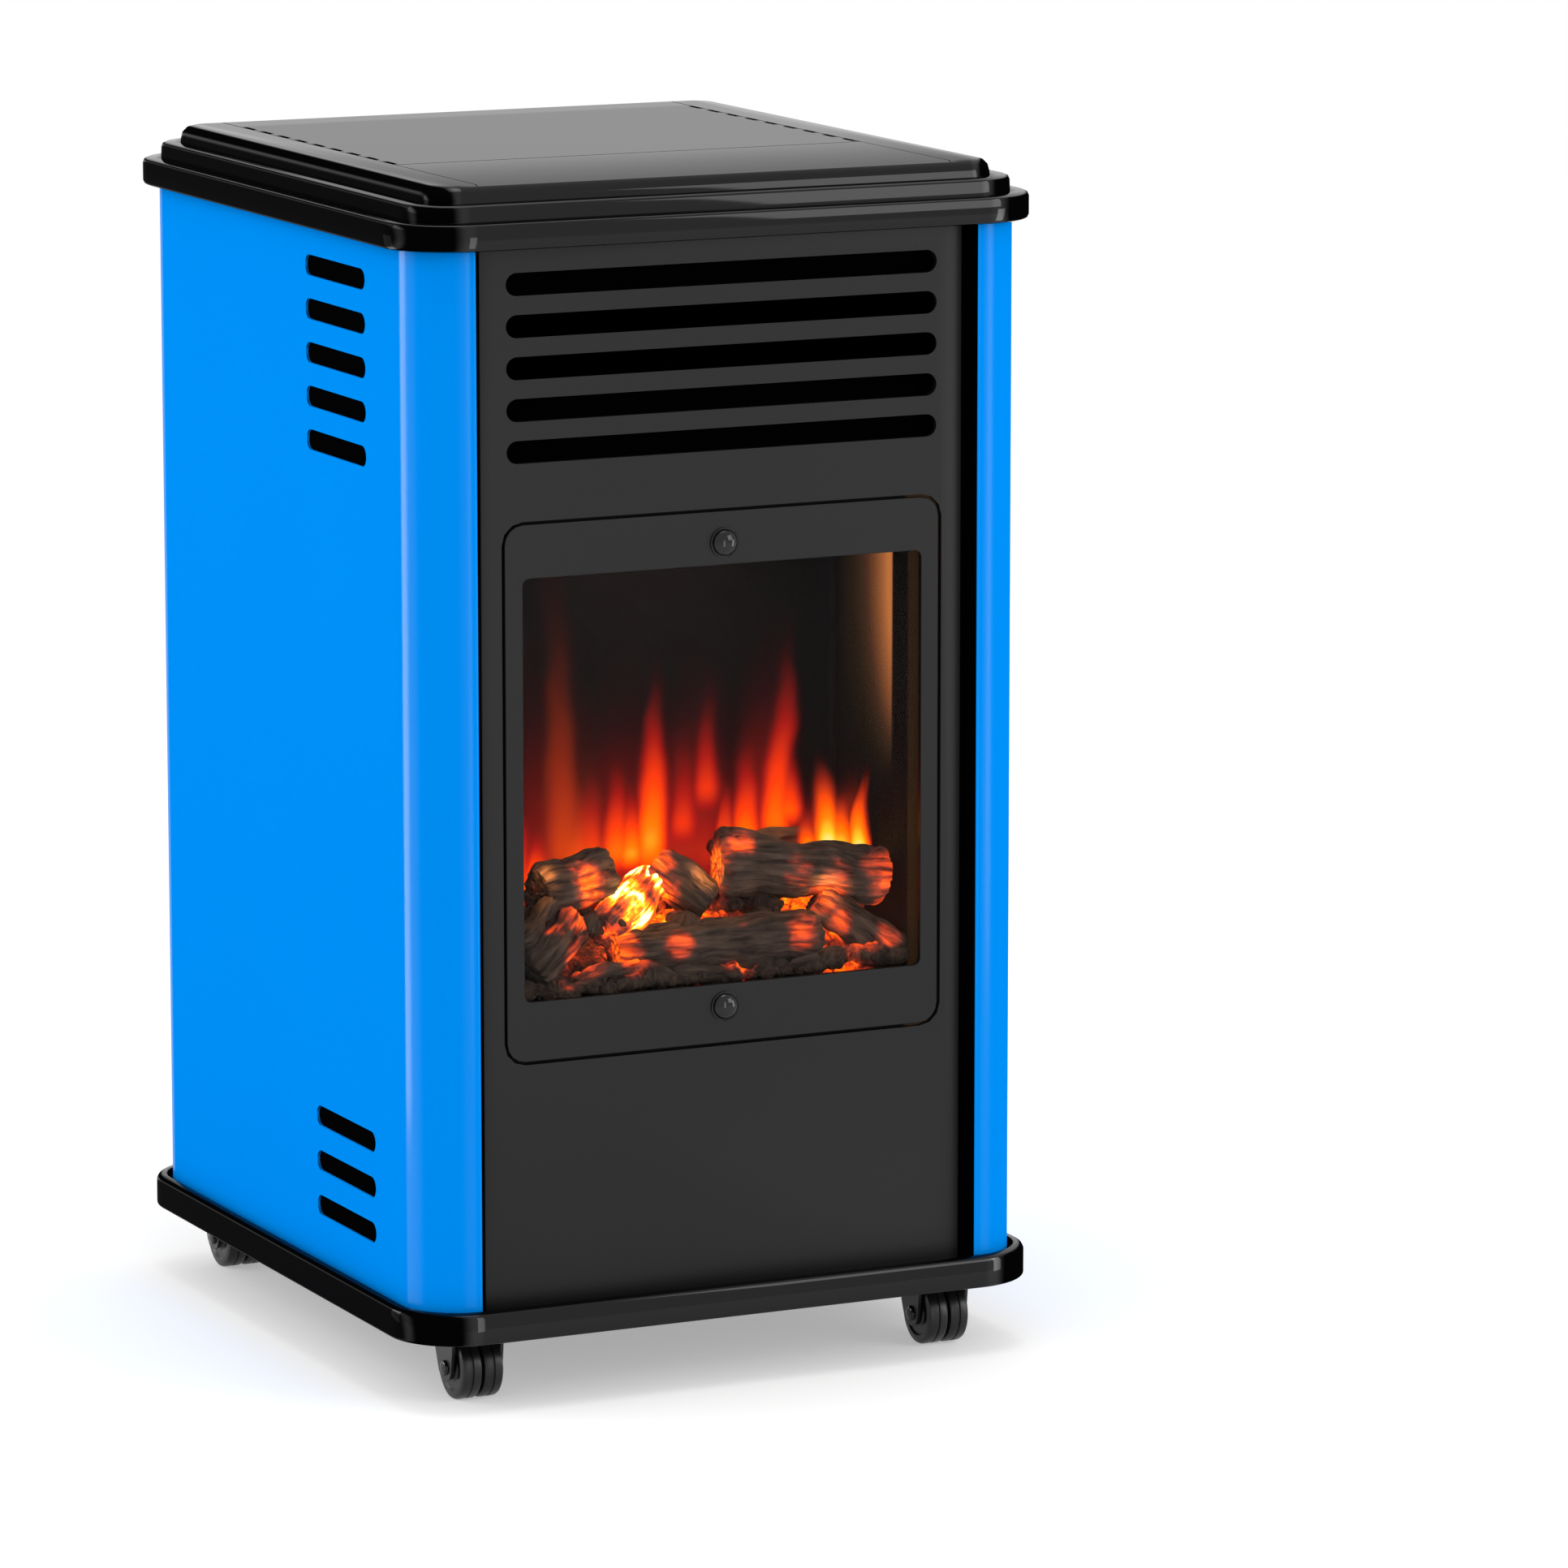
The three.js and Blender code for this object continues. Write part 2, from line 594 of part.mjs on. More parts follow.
// The rear door is a flat pan with a finger slot, a few louvres and a hinge knuckle at each end.
function rearDoor() {
  const edgeGap = 1.5;
  const [x0, x1] = [-COLUMN_X + edgeGap, COLUMN_X - edgeGap];
  const [skin, inner] = [FACE_Y - SHEET, FACE_Y - DOOR_FLANGE];
  const pan = box(x0, x1, inner, FACE_Y, DOOR_Z0, DOOR_Z1);
  const hollow = box(x0 + SHEET, x1 - SHEET, inner - OVER, skin, DOOR_Z0 + SHEET, DOOR_Z1 - SHEET);
  const slotX = x1 - 18 - DOOR_SLOT_W / 2;
  const slotShape = stadium(DOOR_SLOT_W, DOOR_SLOT_L, slotX, DOOR_MID + DOOR_SLOT_L / 2, 3);
  const slot = alongY(slotShape, inner - OVER, FACE_Y + OVER);
  const knuckles = [DOOR_Z0, DOOR_Z1 - KNUCKLE_L].map((z) => {
    const barrel = alongZ(circle(KNUCKLE_R, DOOR_AXIS_X, DOOR_AXIS_Y, 10), z, z + KNUCKLE_L);
    const web = box(DOOR_AXIS_X - 1.5, DOOR_AXIS_X + 3.5, skin, DOOR_AXIS_Y, z, z + KNUCKLE_L);
    return add(barrel, web);
  });
  const boreL = KNUCKLE_L - 3;
  const bores = [DOOR_Z0 - OVER, DOOR_Z1 + OVER - boreL].map((z) =>
    alongZ(circle(PIN_D / 2 + GAP, DOOR_AXIS_X, DOOR_AXIS_Y, 10), z, z + boreL),
  );
  const louvres = [];
  for (let i = 0; i < DOOR_LOUVRES; i++)
    louvres.push(alongY(stadium(120, 6, 0, DOOR_Z0 + 51 + 16 * i, 1), inner, FACE_Y + OVER));
  return cut(add(cut(pan, hollow), ...knuckles), ...bores, slot, ...louvres);
}

function doorPin(z0, z1) {
  return alongZ(circle(PIN_D / 2, DOOR_AXIS_X, DOOR_AXIS_Y, 10), z0, z1);
}

// The heat shield parts the fire from the bottle bay, from the tray to the well.
function heatShield() {
  const x = SIDE_X - SHEET - 1;
  const foot = TRAY_FLOOR + GAP;
  const back = SHIELD_Y + SHEET;
  const sheet = box(-x, x, SHIELD_Y, back, foot, DECK_Z - GAP);
  const flange = box(-x + 20, x - 20, SHIELD_Y - 10, back, foot, foot + SHEET);
  const hole = roundedRect(LANE_X - 18, LANE_X + 24, DECK_Z - 57, DECK_Z - 25, 8, 3);
  return cut(add(sheet, flange), alongY(hole, SHIELD_Y - OVER, back + OVER));
}

// ---------------------------------------------------------------- firebox
// A tapering steel box, open to the glass, with a front flange, a flue and the burner's inlet.
function firebox() {
  const [y0, y1] = [FIREBOX_Y, FIREBOX_BACK];
  const [xf, xb] = [FIREBOX_X, FIREBOX_X - FIREBOX_SPLAY];
  const [z0, z1] = [FIREBOX_FLOOR, FIREBOX_TOP];
  const t = SHEET;
  const outer = outline([
    [-xf - t, y0],
    [xf + t, y0],
    [xb + t, y1],
    [-xb - t, y1],
  ]);
  const inner = outline([
    [-xf, y0 - OVER],
    [xf, y0 - OVER],
    [xf, y0],
    [xb, y1 - t, 6],
    [-xb, y1 - t, 6],
    [-xf, y0],
  ]);
  const edge = FIREBOX_FLANGE;
  const rim = roundedRect(-FRAME_X - edge, FRAME_X + edge, FRAME_Z0 - edge, FRAME_Z1 + edge, FRAME_R);
  const shell = add(alongZ(outer, z0 - t, z1 + t), alongY(rim, y0, y0 + t));
  const [flueX, flueY1] = [FLUE_W / 2, y1 - FLUE_SETBACK];
  const flueY0 = flueY1 - FLUE_D;
  const flue = box(-flueX, flueX, flueY0, flueY1, z1 - OVER, z1 + FLUE_H + OVER);
  const chimney = box(-flueX - t, flueX + t, flueY0 - t, flueY1 + t, z1 + t / 2, z1 + FLUE_H);
  const inlet = alongX(circle(MIXER_R + 1, BURNER_Y, BURNER_Z), xb - 10, xf + 5);
  const holes = pilotXs().map((x) => alongZ(circle(4.5, x, PILOT_Y, 8), z0 - 5, z0 + 5));
  return cut(add(shell, chimney), alongZ(inner, z0, z1), flue, inlet, ...holes);
}

// The sheet over the firebox that turns the warm air out through the louvres.
function heatDeflector() {
  const x = COLUMN_X - 20;
  const [yf, yb] = [FRONT_Y + 14, SHIELD_Y - GAP];
  const top = CAP_Z + 6;
  const [foot, knee] = [CAP_Z - 103, CAP_Z - 49];
  const bend = 20;
  const profile = outline([
    [yb - SHEET, foot],
    [yb, foot],
    [yb, knee, bend + SHEET],
    [yf + 16, top, bend],
    [yf, top],
    [yf, top - SHEET],
    [yf + 15.4, top - SHEET, bend],
    [yb - SHEET, knee - 0.8, bend + SHEET],
  ]);
  return alongX(profile, -x, x);
}

function windowFrame() {
  const [front, back] = [FRONT_Y - OVER, FRONT_Y + FRAME_T + OVER];
  const outer = roundedRect(-FRAME_X, FRAME_X, FRAME_Z0, FRAME_Z1, FRAME_R);
  const opening = roundedRect(-WINDOW_X, WINDOW_X, WINDOW_Z0, WINDOW_Z1, WINDOW_R);
  const studs = DOME_ZS.map((z) => alongY(circle(STUD_R + GAP, 0, z), front, back));
  return cut(alongY(outer, FRONT_Y, FRONT_Y + FRAME_T), alongY(opening, front, back), ...studs);
}

function windowGlass() {
  const x = WINDOW_X + GLASS_LAP;
  const pane = roundedRect(-x, x, WINDOW_Z0 - GLASS_LAP, WINDOW_Z1 + GLASS_LAP, WINDOW_R, 3);
  return alongY(pane, FIREBOX_Y, FIREBOX_Y + GLASS_T);
}

// A domed nut with a narrow collar and its stud, lying along Y.
function domeNut(z) {
  const radius = DOME_D / 2;
  const steps = 4;
  const profile = [
    [0, -FRAME_T + 2 * GAP],
    [STUD_R, -FRAME_T + 2 * GAP],
    [STUD_R, GAP],
    [radius, GAP],
    [radius, DOME_COLLAR],
  ];
  for (let k = 0; k < steps; k++) {
    const angle = (Math.PI / 2) * (k / steps);
    profile.push([(radius - 0.7) * Math.cos(angle), DOME_COLLAR + (DOME_H - DOME_COLLAR) * Math.sin(angle)]);
  }
  profile.push([0, DOME_H]);
  return solid(turned(profile, 12).rotateX(Math.PI / 2).translate(0, FRONT_Y, z));
}

// ---------------------------------------------------------------- burner and fire bed
// A closed-end tube with a row of ports on top and a mixing tube out to the injector.
function burner() {
  const barrel = alongX(circle(BURNER_R, BURNER_Y, BURNER_Z, 12), -BURNER_X, BURNER_X);
  const mixer = alongX(circle(MIXER_R, BURNER_Y, BURNER_Z, 10), BURNER_X - 4, INJECTOR_X - GAP);
  const bore = alongX(circle(MIXER_R - SHEET, BURNER_Y, BURNER_Z, 10), -BURNER_X + 3, INJECTOR_X + OVER);
  const ports = spread(BURNER_PORTS, 0.75 * BURNER_X).map((x) =>
    box(x - 6, x + 6, BURNER_Y - 1, BURNER_Y + 1, BURNER_Z, BURNER_Z + BURNER_R + OVER),
  );
  return cut(add(barrel, mixer), bore, ...ports);
}

// The brass elbow that holds the jet and takes the burner pipe from above.
function injector() {
  const half = INJECTOR_W / 2;
  const x = INJECTOR_X + half;
  const body = box(x - half, x + half, BURNER_Y - half, BURNER_Y + half, BURNER_Z - half, BURNER_Z + 10);
  const nut = alongZ(circle(7, x, BURNER_Y, 6), BURNER_Z + 9, BURNER_Z + 18);
  const socket = alongZ(circle(PIPE_R + GAP, x, BURNER_Y, 12), BURNER_Z + 6, BURNER_Z + 20);
  return cut(add(body, nut), socket);
}

// Height of the ember bed: a bank that climbs to the back, lumpy all over.
function bedHeight(x, y) {
  const climb = THREE.MathUtils.clamp((y - BED_FRONT) / (BED_BACK - BED_FRONT), 0, 1);
  const bank = WINDOW_Z0 - BED_DROP + BED_CLIMB * Math.pow(climb, 0.85);
  const long = 2.6 * Math.sin(x * 0.21 + y * 0.11) + 2.2 * Math.sin(x * 0.09 - y * 0.23 + 1.3);
  const short = 1.6 * Math.cos(x * 0.37 + 0.7) * Math.sin(y * 0.3);
  return bank + long + short;
}

// Half the room between the firebox's splayed side walls at a depth.
function wallX(y) {
  return FIREBOX_X - (FIREBOX_SPLAY * (y - FIREBOX_Y)) / FIREBOX_DEPTH;
}

// The bed of embers, tunnelled for the burner and slotted over its ports.
function emberBed() {
  const geometry = new THREE.BoxGeometry(2 * BED_X, BED_BACK - BED_FRONT, 2, 12, 4, 1);
  geometry.translate(0, (BED_BACK + BED_FRONT) / 2, 0);
  const position = geometry.getAttribute("position");
  for (let i = 0; i < position.count; i++) {
    const y = position.getY(i);
    const x = (position.getX(i) * (wallX(y) - BED_GAP)) / BED_X;
    position.setXYZ(i, x, y, position.getZ(i) > 0 ? bedHeight(x, y) : BED_FOOT);
  }
  const room = BURNER_R + 2.5;
  const roof = BURNER_Z + room;
  const tunnel = box(-BURNER_X - 4, FIREBOX_X, BURNER_Y - room, BURNER_Y + room, BED_FOOT - OVER, roof);
  const slots = spread(BED_SLOTS, 0.78 * BURNER_X).map((x) =>
    alongZ(stadium(22, 7, x, BURNER_Y), BED_FOOT, bedHeight(x, BURNER_Y) + 20),
  );
  return cut(solid(geometry), tunnel, ...slots);
}

// A charred log: a knotted, tapered and slightly bowed bar from one end point to the other.
// Ends are given as a share of the bed's half width, a share of the firebox's depth and the height
// above the glass opening's foot. Height and thickness follow the firebox's depth too.
function log({ from, to, r0, r1, bow, seed }, swell = 0) {
  const scale = FIREBOX_DEPTH / LOG_ROOM;
  const ends = [from, to].map(([across, back, up]) => {
    const y = FIREBOX_Y + back * FIREBOX_DEPTH;
    return new THREE.Vector3(across * BED_X, y, WINDOW_Z0 + scale * up);
  });
  const length = ends[0].distanceTo(ends[1]) + 2 * swell;
  const geometry = new THREE.CylinderGeometry(1, 1, length, 9, 5);
  const position = geometry.getAttribute("position");
  for (let i = 0; i < position.count; i++) {
    const [x, y, z] = [position.getX(i), position.getY(i), position.getZ(i)];
    const share = THREE.MathUtils.clamp(y / length + 0.5, 0, 1);
    const angle = Math.atan2(z, x);
    const knots = 0.09 * Math.sin(3 * angle + seed) + 0.07 * Math.sin(7 * share + 2 * angle + seed * 2);
    const bare = scale * THREE.MathUtils.lerp(r0, r1, share) * (1 + knots);
    const radius = Math.hypot(x, z) > 0.5 ? bare + swell : 0;
    position.setXYZ(i, x * radius + bow * 4 * share * (1 - share), y, z * radius);
  }
  const run = ends[1].clone().sub(ends[0]).normalize();
  geometry.applyQuaternion(new THREE.Quaternion().setFromUnitVectors(new THREE.Vector3(0, 1, 0), run));
  const middle = ends[0].add(ends[1]).multiplyScalar(0.5);
  return solid(geometry.translate(middle.x, middle.y, middle.z));
}

const LOGS = {
  log_front: { from: [-0.5, 0.26, 21], to: [0.6, 0.26, 20], r0: 14, r1: 18, bow: 4, seed: 0.4 },
  log_back_right: { from: [0.17, 0.48, 64], to: [1.04, 0.31, 52], r0: 19, r1: 17, bow: 3, seed: 1.9 },
  log_back_left: { from: [-0.85, 0.44, 58], to: [-0.43, 0.58, 62], r0: 16, r1: 17, bow: 2, seed: 3.1 },
  log_left_corner: { from: [-0.96, 0.24, 12], to: [-0.7, 0.36, 42], r0: 16, r1: 14, bow: 1, seed: 4.4 },
  log_middle: { from: [-0.14, 0.61, 64], to: [0.08, 0.41, 40], r0: 15, r1: 14, bow: 0, seed: 5.2 },
  log_right_front: { from: [0.66, 0.34, 38], to: [1.05, 0.22, 2], r0: 12, r1: 13, bow: 2, seed: 6.6 },
};

// The logs and the bed they lie in, each notched where it crosses one laid before it.
function fireBed() {
  const room = 2 * GAP;
  const laid = [];
  const bodies = {};
  for (const [name, shape] of Object.entries(LOGS)) {
    bodies[name] = cut(log(shape), ...laid.map((other) => log(other, room)));
    laid.push(shape);
  }
  bodies.ember_bed = cut(emberBed(), ...laid.map((other) => log(other, room)));
  return bodies;
}

// ---------------------------------------------------------------- pilot
function pilotXs() {
  return spread(3, PILOT_PITCH).map((x) => PILOT_X + x);
}

function pilotBracket() {
  const back = FIREBOX_BACK - SHEET - GAP;
  const [x0, x1] = [PILOT_X - PILOT_PITCH - 12, PILOT_X + PILOT_PITCH + 12];
  const shelfZ = FIREBOX_FLOOR + PILOT_LIFT;
  const plate = box(x0, x1, back - SHEET, back, shelfZ - 22, shelfZ + 14);
  const shelf = box(x0, x1, PILOT_Y - 6, back, shelfZ, shelfZ + SHEET);
  const holes = pilotXs().map((x) => alongZ(circle(2.6 + GAP, x, PILOT_Y, 8), shelfZ - OVER, FIREBOX_TOP));
  return cut(add(plate, shelf), ...holes);
}

// A pilot fitting's tip with its tube, which runs under the firebox, up beside it and through the shield.
function pilotPart(index, profile, tubeR, pass, onward) {
  const [outwards, x] = [2 - index, pilotXs()[index]];
  const lane = LANE_X + LEAD_PITCH * outwards;
  const under = FIREBOX_FLOOR - 9 - 6 * outwards;
  const tip = solid(turned(profile, 8).translate(x, PILOT_Y, FIREBOX_FLOOR + PILOT_LIFT - 10));
  const tube = pipe(
    [
      [x, PILOT_Y, FIREBOX_FLOOR + PILOT_LIFT - 8],
      [x, PILOT_Y, under],
      [lane, PILOT_Y, under],
      [lane, PILOT_Y, pass],
      [lane, SHIELD_Y + 10, pass],
      ...onward,
    ],
    tubeR,
  );
  return add(tip, tube);
}

function sparkElectrode() {
  const profile = [[0, 0], [2.6, 0], [2.6, 26], [0.9, 27], [0.9, 36], [0, 36]];
  const z = DECK_Z - 52;
  const route = [
    [LANE_X - 4, SHIELD_Y + 34, z],
    [PIEZO_X + 46, CONTROL_Y - 65, z],
    [PIEZO_X, CONTROL_Y - 22, z + 10],
    [PIEZO_X, CONTROL_Y - 5 - GAP, z + 12],
  ];
  return pilotPart(0, profile, 1.6, DECK_Z - 51, route);
}

function pilotBurner() {
  const profile = [[0, 2], [2.6, 2], [2.6, 28], [1.8, 31], [0, 31]];
  const route = [
    [LANE_X - 14, SHIELD_Y + 42, DECK_Z - 45],
    [KNOB_X + 22, CONTROL_Y - 57, DECK_Z - 41],
    [KNOB_X + 2, CONTROL_Y - 37, VALVE_TOP - 28],
    [KNOB_X + 2, CONTROL_Y - 17 - GAP, VALVE_TOP - 28],
  ];
  return pilotPart(1, profile, 2, DECK_Z - 44, route);
}

function thermocouple() {
  const profile = [[0, 0], [1.6, 0], [1.6, 6], [2.6, 6], [2.6, 12], [1.4, 13], [1.4, 34], [0, 35]];
  const z = VALVE_TOP - 18;
  const route = [
    [LANE_X - 3, CONTROL_Y - 95, z - 4],
    [LANE_X - 12, CONTROL_Y - 25, z],
    [KNOB_X + 60, CONTROL_Y, z],
    [KNOB_X + 40 + GAP, CONTROL_Y, z],
  ];
  return pilotPart(2, profile, 1.2, DECK_Z - 32, route);
}

// ---------------------------------------------------------------- cap and lid
// Levels of a tier that rises to a rounded edge, from its own foot.
function tier(inset, foot, top) {
  const r = CAP_EDGE_R;
  return [[inset - 0.3, foot], [inset, top - r], [inset + 0.3 * r, top - 0.3 * r], [inset + r, top]];
}

// The stepped cap, hollow below, with the lid's opening, the ledge it rests on and its hinge lugs.
function topCap() {
  const r = CAP_TABLE_R;
  const roundSteps = 3;
  const table = [];
  for (let k = 0; k <= roundSteps; k++) {
    const angle = (Math.PI / 2) * (k / roundSteps);
    table.push([CAP_TABLE_INSET + r * (1 - Math.cos(angle)), TOP_Z - r * (1 - Math.sin(angle))]);
  }
  const outer = loft([
    [2.6, CAP_Z],
    [0.8, CAP_Z + 0.8],
    [0, CAP_Z + 2.6],
    ...tier(0, CAP_Z, STEP_Z).slice(1),
    ...tier(CAP_STEP_INSET, STEP_Z, TABLE_Z),
    [CAP_TABLE_INSET - 0.3, TABLE_Z],
    ...table,
  ]);
  const w = CAP_WALL;
  const roof = CAP_TABLE_INSET + w + 2;
  const hollow = add(
    loft([[w + 0.6, CAP_Z - OVER], [w + 0.6, STEP_Z - w]]),
    loft([[CAP_STEP_INSET + w, CAP_Z], [CAP_STEP_INSET + w, TABLE_Z - w]]),
    loft([[roof, CAP_Z], [roof, TOP_Z - w - 2], [roof + 3, TOP_Z - w]]),
  );
  const x = LID_X + LID_SEAM;
  const [front, rear] = [LID_Y0 - LID_SEAM, LID_AXIS_Y + r + 0.6];
  const opening = box(-x, x, front, rear, LID_AXIS_Z - r - 0.6, TOP_Z + OVER);
  const rimEnd = LID_AXIS_Y - 16;
  const ledgeZ = RIM_Z - SHEET;
  const rimOuter = box(-x - SHEET, x + SHEET, front - SHEET, rimEnd, ledgeZ, TOP_Z - OVER);
  const rimSeat = box(-x, x, front, rimEnd + OVER, RIM_Z, TOP_Z + OVER);
  const inner = x - WELL_MARGIN;
  const rimHole = box(-inner, inner, front + WELL_MARGIN, rimEnd + OVER, ledgeZ - OVER, TOP_Z);
  const lugs = [-1, 1].map((side) =>
    box(...span(side, x + 0.5, x + 6.5), LID_AXIS_Y - 6, LID_AXIS_Y + 5, LID_AXIS_Z - 5, TOP_Z - 1.5),
  );
  const pinHole = alongX(circle(PIN_D / 2 + GAP, LID_AXIS_Y, LID_AXIS_Z, 10), -x - 5, x + 5);
  const seams = [-1, 1].map((side) =>
    box(...span(side, x - 0.9, x - 0.1), -DEPTH / 2, LID_Y0, TOP_Z - 0.8, TOP_Z + OVER),
  );
  const shell = cut(outer, hollow, opening);
  return cut(add(shell, cut(rimOuter, rimSeat, rimHole), ...lugs), pinHole, ...seams);
}

// A slot half in and half out of the lid's edge.
function lidNotch(side, y) {
  const [x0, x1] = span(side, LID_X - LID_NOTCH_D, LID_X + OVER);
  const half = LID_NOTCH_L / 2;
  const easing = 2;
  const inwards = side > 0 ? x0 : x1;
  const outwards = side > 0 ? x1 : x0;
  const shape = outline([
    [outwards, y - half],
    [outwards, y + half],
    [inwards, y + half - easing],
    [inwards, y - half + easing],
  ]);
  return alongZ(shape, TOP_Z - LID_FLANGE - OVER, TOP_Z + OVER);
}

// The lid lies flush in the cap; its rear edge is rounded about the hinge axis.
function topLid() {
  const [y0, z, x] = [LID_Y0, TOP_Z, LID_X];
  const [ay, az, r] = [LID_AXIS_Y, LID_AXIS_Z, CAP_TABLE_R];
  const easing = 0.8;
  const points = [[y0, z - LID_FLANGE], [y0, z - easing], [y0 + easing, z]];
  const steps = 3;
  const arc = (radius, from, to) => {
    for (let k = 0; k <= steps; k++) {
      const angle = (Math.PI / 2) * (from + ((to - from) * k) / steps);
      points.push([ay + radius * Math.cos(angle), az + radius * Math.sin(angle)]);
    }
  };
  arc(r, 1, 0);
  arc(r - LID_T, 0, 1);
  points.push([y0 + LID_T, z - LID_T], [y0 + LID_T, z - LID_FLANGE]);
  const skin = alongX(outline(points), -x, x);
  const flanges = [-1, 1].flatMap((side) => {
    const ends = span(side, x - LID_T, x);
    return [
      box(...ends, y0, ay - 14, z - LID_FLANGE, z - LID_T / 2),
      alongX(circle(r - LID_T, ay, az), ...ends),
      box(...ends, ay - 15, ay, az - 1, z - LID_T / 2),
    ];
  });
  const first = y0 + 12;
  const count = Math.floor((ay - 42 - first) / LID_NOTCH_PITCH) + 1;
  const notches = [];
  for (const side of [-1, 1])
    for (let i = 0; i < count; i++) notches.push(lidNotch(side, first + i * LID_NOTCH_PITCH));
  const bore = alongX(circle(PIN_D / 2 + GAP, ay, az, 10), -x - OVER, x + OVER);
  return cut(add(skin, ...flanges), bore, ...notches);
}

function lidPin(side) {
  const ends = span(side, LID_X - LID_T - 2, LID_X + LID_SEAM + 4.6);
  return alongX(circle(PIN_D / 2, LID_AXIS_Y, LID_AXIS_Z, 10), ...ends);
}

// The pressed well under the lid that carries the valve and the igniter.
function controlDeck() {
  const [x, y0, y1, t] = [DECK_X, DECK_Y0, DECK_Y1, SHEET];
  const top = RIM_Z - t - GAP;
  const lip = WELL_MARGIN - 1;
  const outer = alongZ(roundedRect(-x, x, y0, y1, WELL_R, 2), DECK_Z, top);
  const inner = alongZ(roundedRect(-x + t, x - t, y0 + t, y1 - t, WELL_R - t, 2), DECK_TOP, top + OVER);
  const brim = cut(
    alongZ(roundedRect(-x - lip, x + lip, y0 - lip, y1 + 2, WELL_R, 2), top - t, top),
    alongZ(roundedRect(-x + 1, x - 1, y0 + 1, y1 - 1, WELL_R - 1, 2), top - t - OVER, top + OVER),
  );
  const through = [DECK_Z - OVER, DECK_TOP + OVER];
  const spindleHole = alongZ(circle(SPINDLE_D / 2 + 1, KNOB_X, CONTROL_Y, 12), ...through);
  const igniterHole = alongZ(circle(BUTTON_D / 2 + 2 + GAP, PIEZO_X, CONTROL_Y, 12), ...through);
  return cut(add(cut(outer, inner), brim), spindleHole, igniterHole);
}

// ---------------------------------------------------------------- controls
// The die-cast gas valve: a block with a spindle boss, side ports and an inlet port.
function gasValve() {
  const [x, y, z] = [KNOB_X, CONTROL_Y, VALVE_TOP];
  const block = alongZ(roundedRect(x - 24, x + 24, y - 17, y + 17, 5, 2), z - VALVE_H, z - 4);
  const neck = alongZ(circle(11, x, y, 10), z - 6, z);
  const outlet = alongY(circle(8, x + 12, PORT_Z, 6), y - 26, y - 10);
  const magnet = alongX(circle(8, y, z - 18, 10), x + 22, x + 40);
  const inlet = alongY(circle(9, x - 8, PORT_Z, 6), y + 10, y + 26);
  const shaftHole = alongZ(circle(SPINDLE_D / 2 + GAP, x, y, 16), SPINDLE_FOOT - GAP, z + OVER);
  const inletHole = alongY(circle(5, x - 8, PORT_Z, 8), y + 14, y + 30);
  const outletHole = alongY(circle(PIPE_R + GAP, x + 12, PORT_Z, 8), y - 30, y - 16);
  return cut(add(block, neck, outlet, magnet, inlet), shaftHole, inletHole, outletHole);
}

// A round shaft with a flat for the knob.
function valveSpindle() {
  const top = DECK_TOP + SPINDLE_RISE;
  const shaft = alongZ(circle(SPINDLE_D / 2, KNOB_X, CONTROL_Y), SPINDLE_FOOT, top);
  const flatY = CONTROL_Y + 0.325 * SPINDLE_D;
  const wide = SPINDLE_D;
  const flat = box(KNOB_X - wide, KNOB_X + wide, flatY, flatY + wide, DECK_TOP + 1, top + OVER);
  return cut(shaft, flat);
}

// A fluted knob on a round skirt, with a pointer ridge, bored for the shaft and its push.
function controlKnob() {
  const r = KNOB_D / 2;
  const top = KNOB_Z + KNOB_H;
  const grip = [];
  for (let k = 0; k < 2 * KNOB_LOBES; k++) {
    const angle = (Math.PI * k) / KNOB_LOBES;
    const radius = r - 3.4 + 0.9 * Math.cos(KNOB_LOBES * angle);
    grip.push(new THREE.Vector2(KNOB_X + radius * Math.cos(angle), CONTROL_Y + radius * Math.sin(angle)));
  }
  const skirtProfile = [[0, 0], [r, 0], [r, 3], [r - 2, 4.4], [0, 4.4]];
  const crownProfile = [[0, 0], [r - 4.6, 0], [r - 7, 2.4], [0, 2.8]];
  const skirt = solid(turned(skirtProfile, 16).translate(KNOB_X, CONTROL_Y, KNOB_Z));
  const body = alongZ(new THREE.Shape(grip), KNOB_Z + 3, top - 1.6);
  const crown = solid(turned(crownProfile, 12).translate(KNOB_X, CONTROL_Y, top - 2.8));
  const pointer = box(KNOB_X - 1.2, KNOB_X + 1.2, CONTROL_Y - 14, CONTROL_Y - 2, top - 3, top + 1);
  const socketTop = DECK_TOP + SPINDLE_RISE + KNOB_PUSH + 1;
  const socket = alongZ(circle(SPINDLE_D / 2 + GAP, KNOB_X, CONTROL_Y), KNOB_Z - OVER, socketTop);
  return cut(add(skirt, body, crown, pointer), socket);
}

// The igniter: a plastic barrel through the deck with a bored collar for its button.
function piezoIgniter() {
  const [r, bore] = [BUTTON_D / 2 + 2, BUTTON_D / 2 + GAP];
  const [seat, nut, rim] = [SHEET + GAP, SHEET + 3, SHEET + 8];
  const profile = [
    [0, -44],
    [5, -44],
    [5, -36],
    [r, -32],
    [r, seat],
    [r + 3.4, seat],
    [r + 3.4, nut],
    [r, rim],
    [bore, rim],
    [bore, -10],
    [0, -10],
  ];
  return solid(turned(profile, 12).translate(PIEZO_X, CONTROL_Y, DECK_Z));
}

function piezoButton() {
  const foot = DECK_Z - 10 + BUTTON_PUSH + 1;
  const top = DECK_TOP + 8 + BUTTON_PUSH + 3;
  const r = BUTTON_D / 2;
  const profile = [[0, foot], [r, foot], [r, top - 1.6], [r - 2, top], [0, top - 0.6]];
  return solid(turned(profile, 12).translate(PIEZO_X, CONTROL_Y, 0));
}

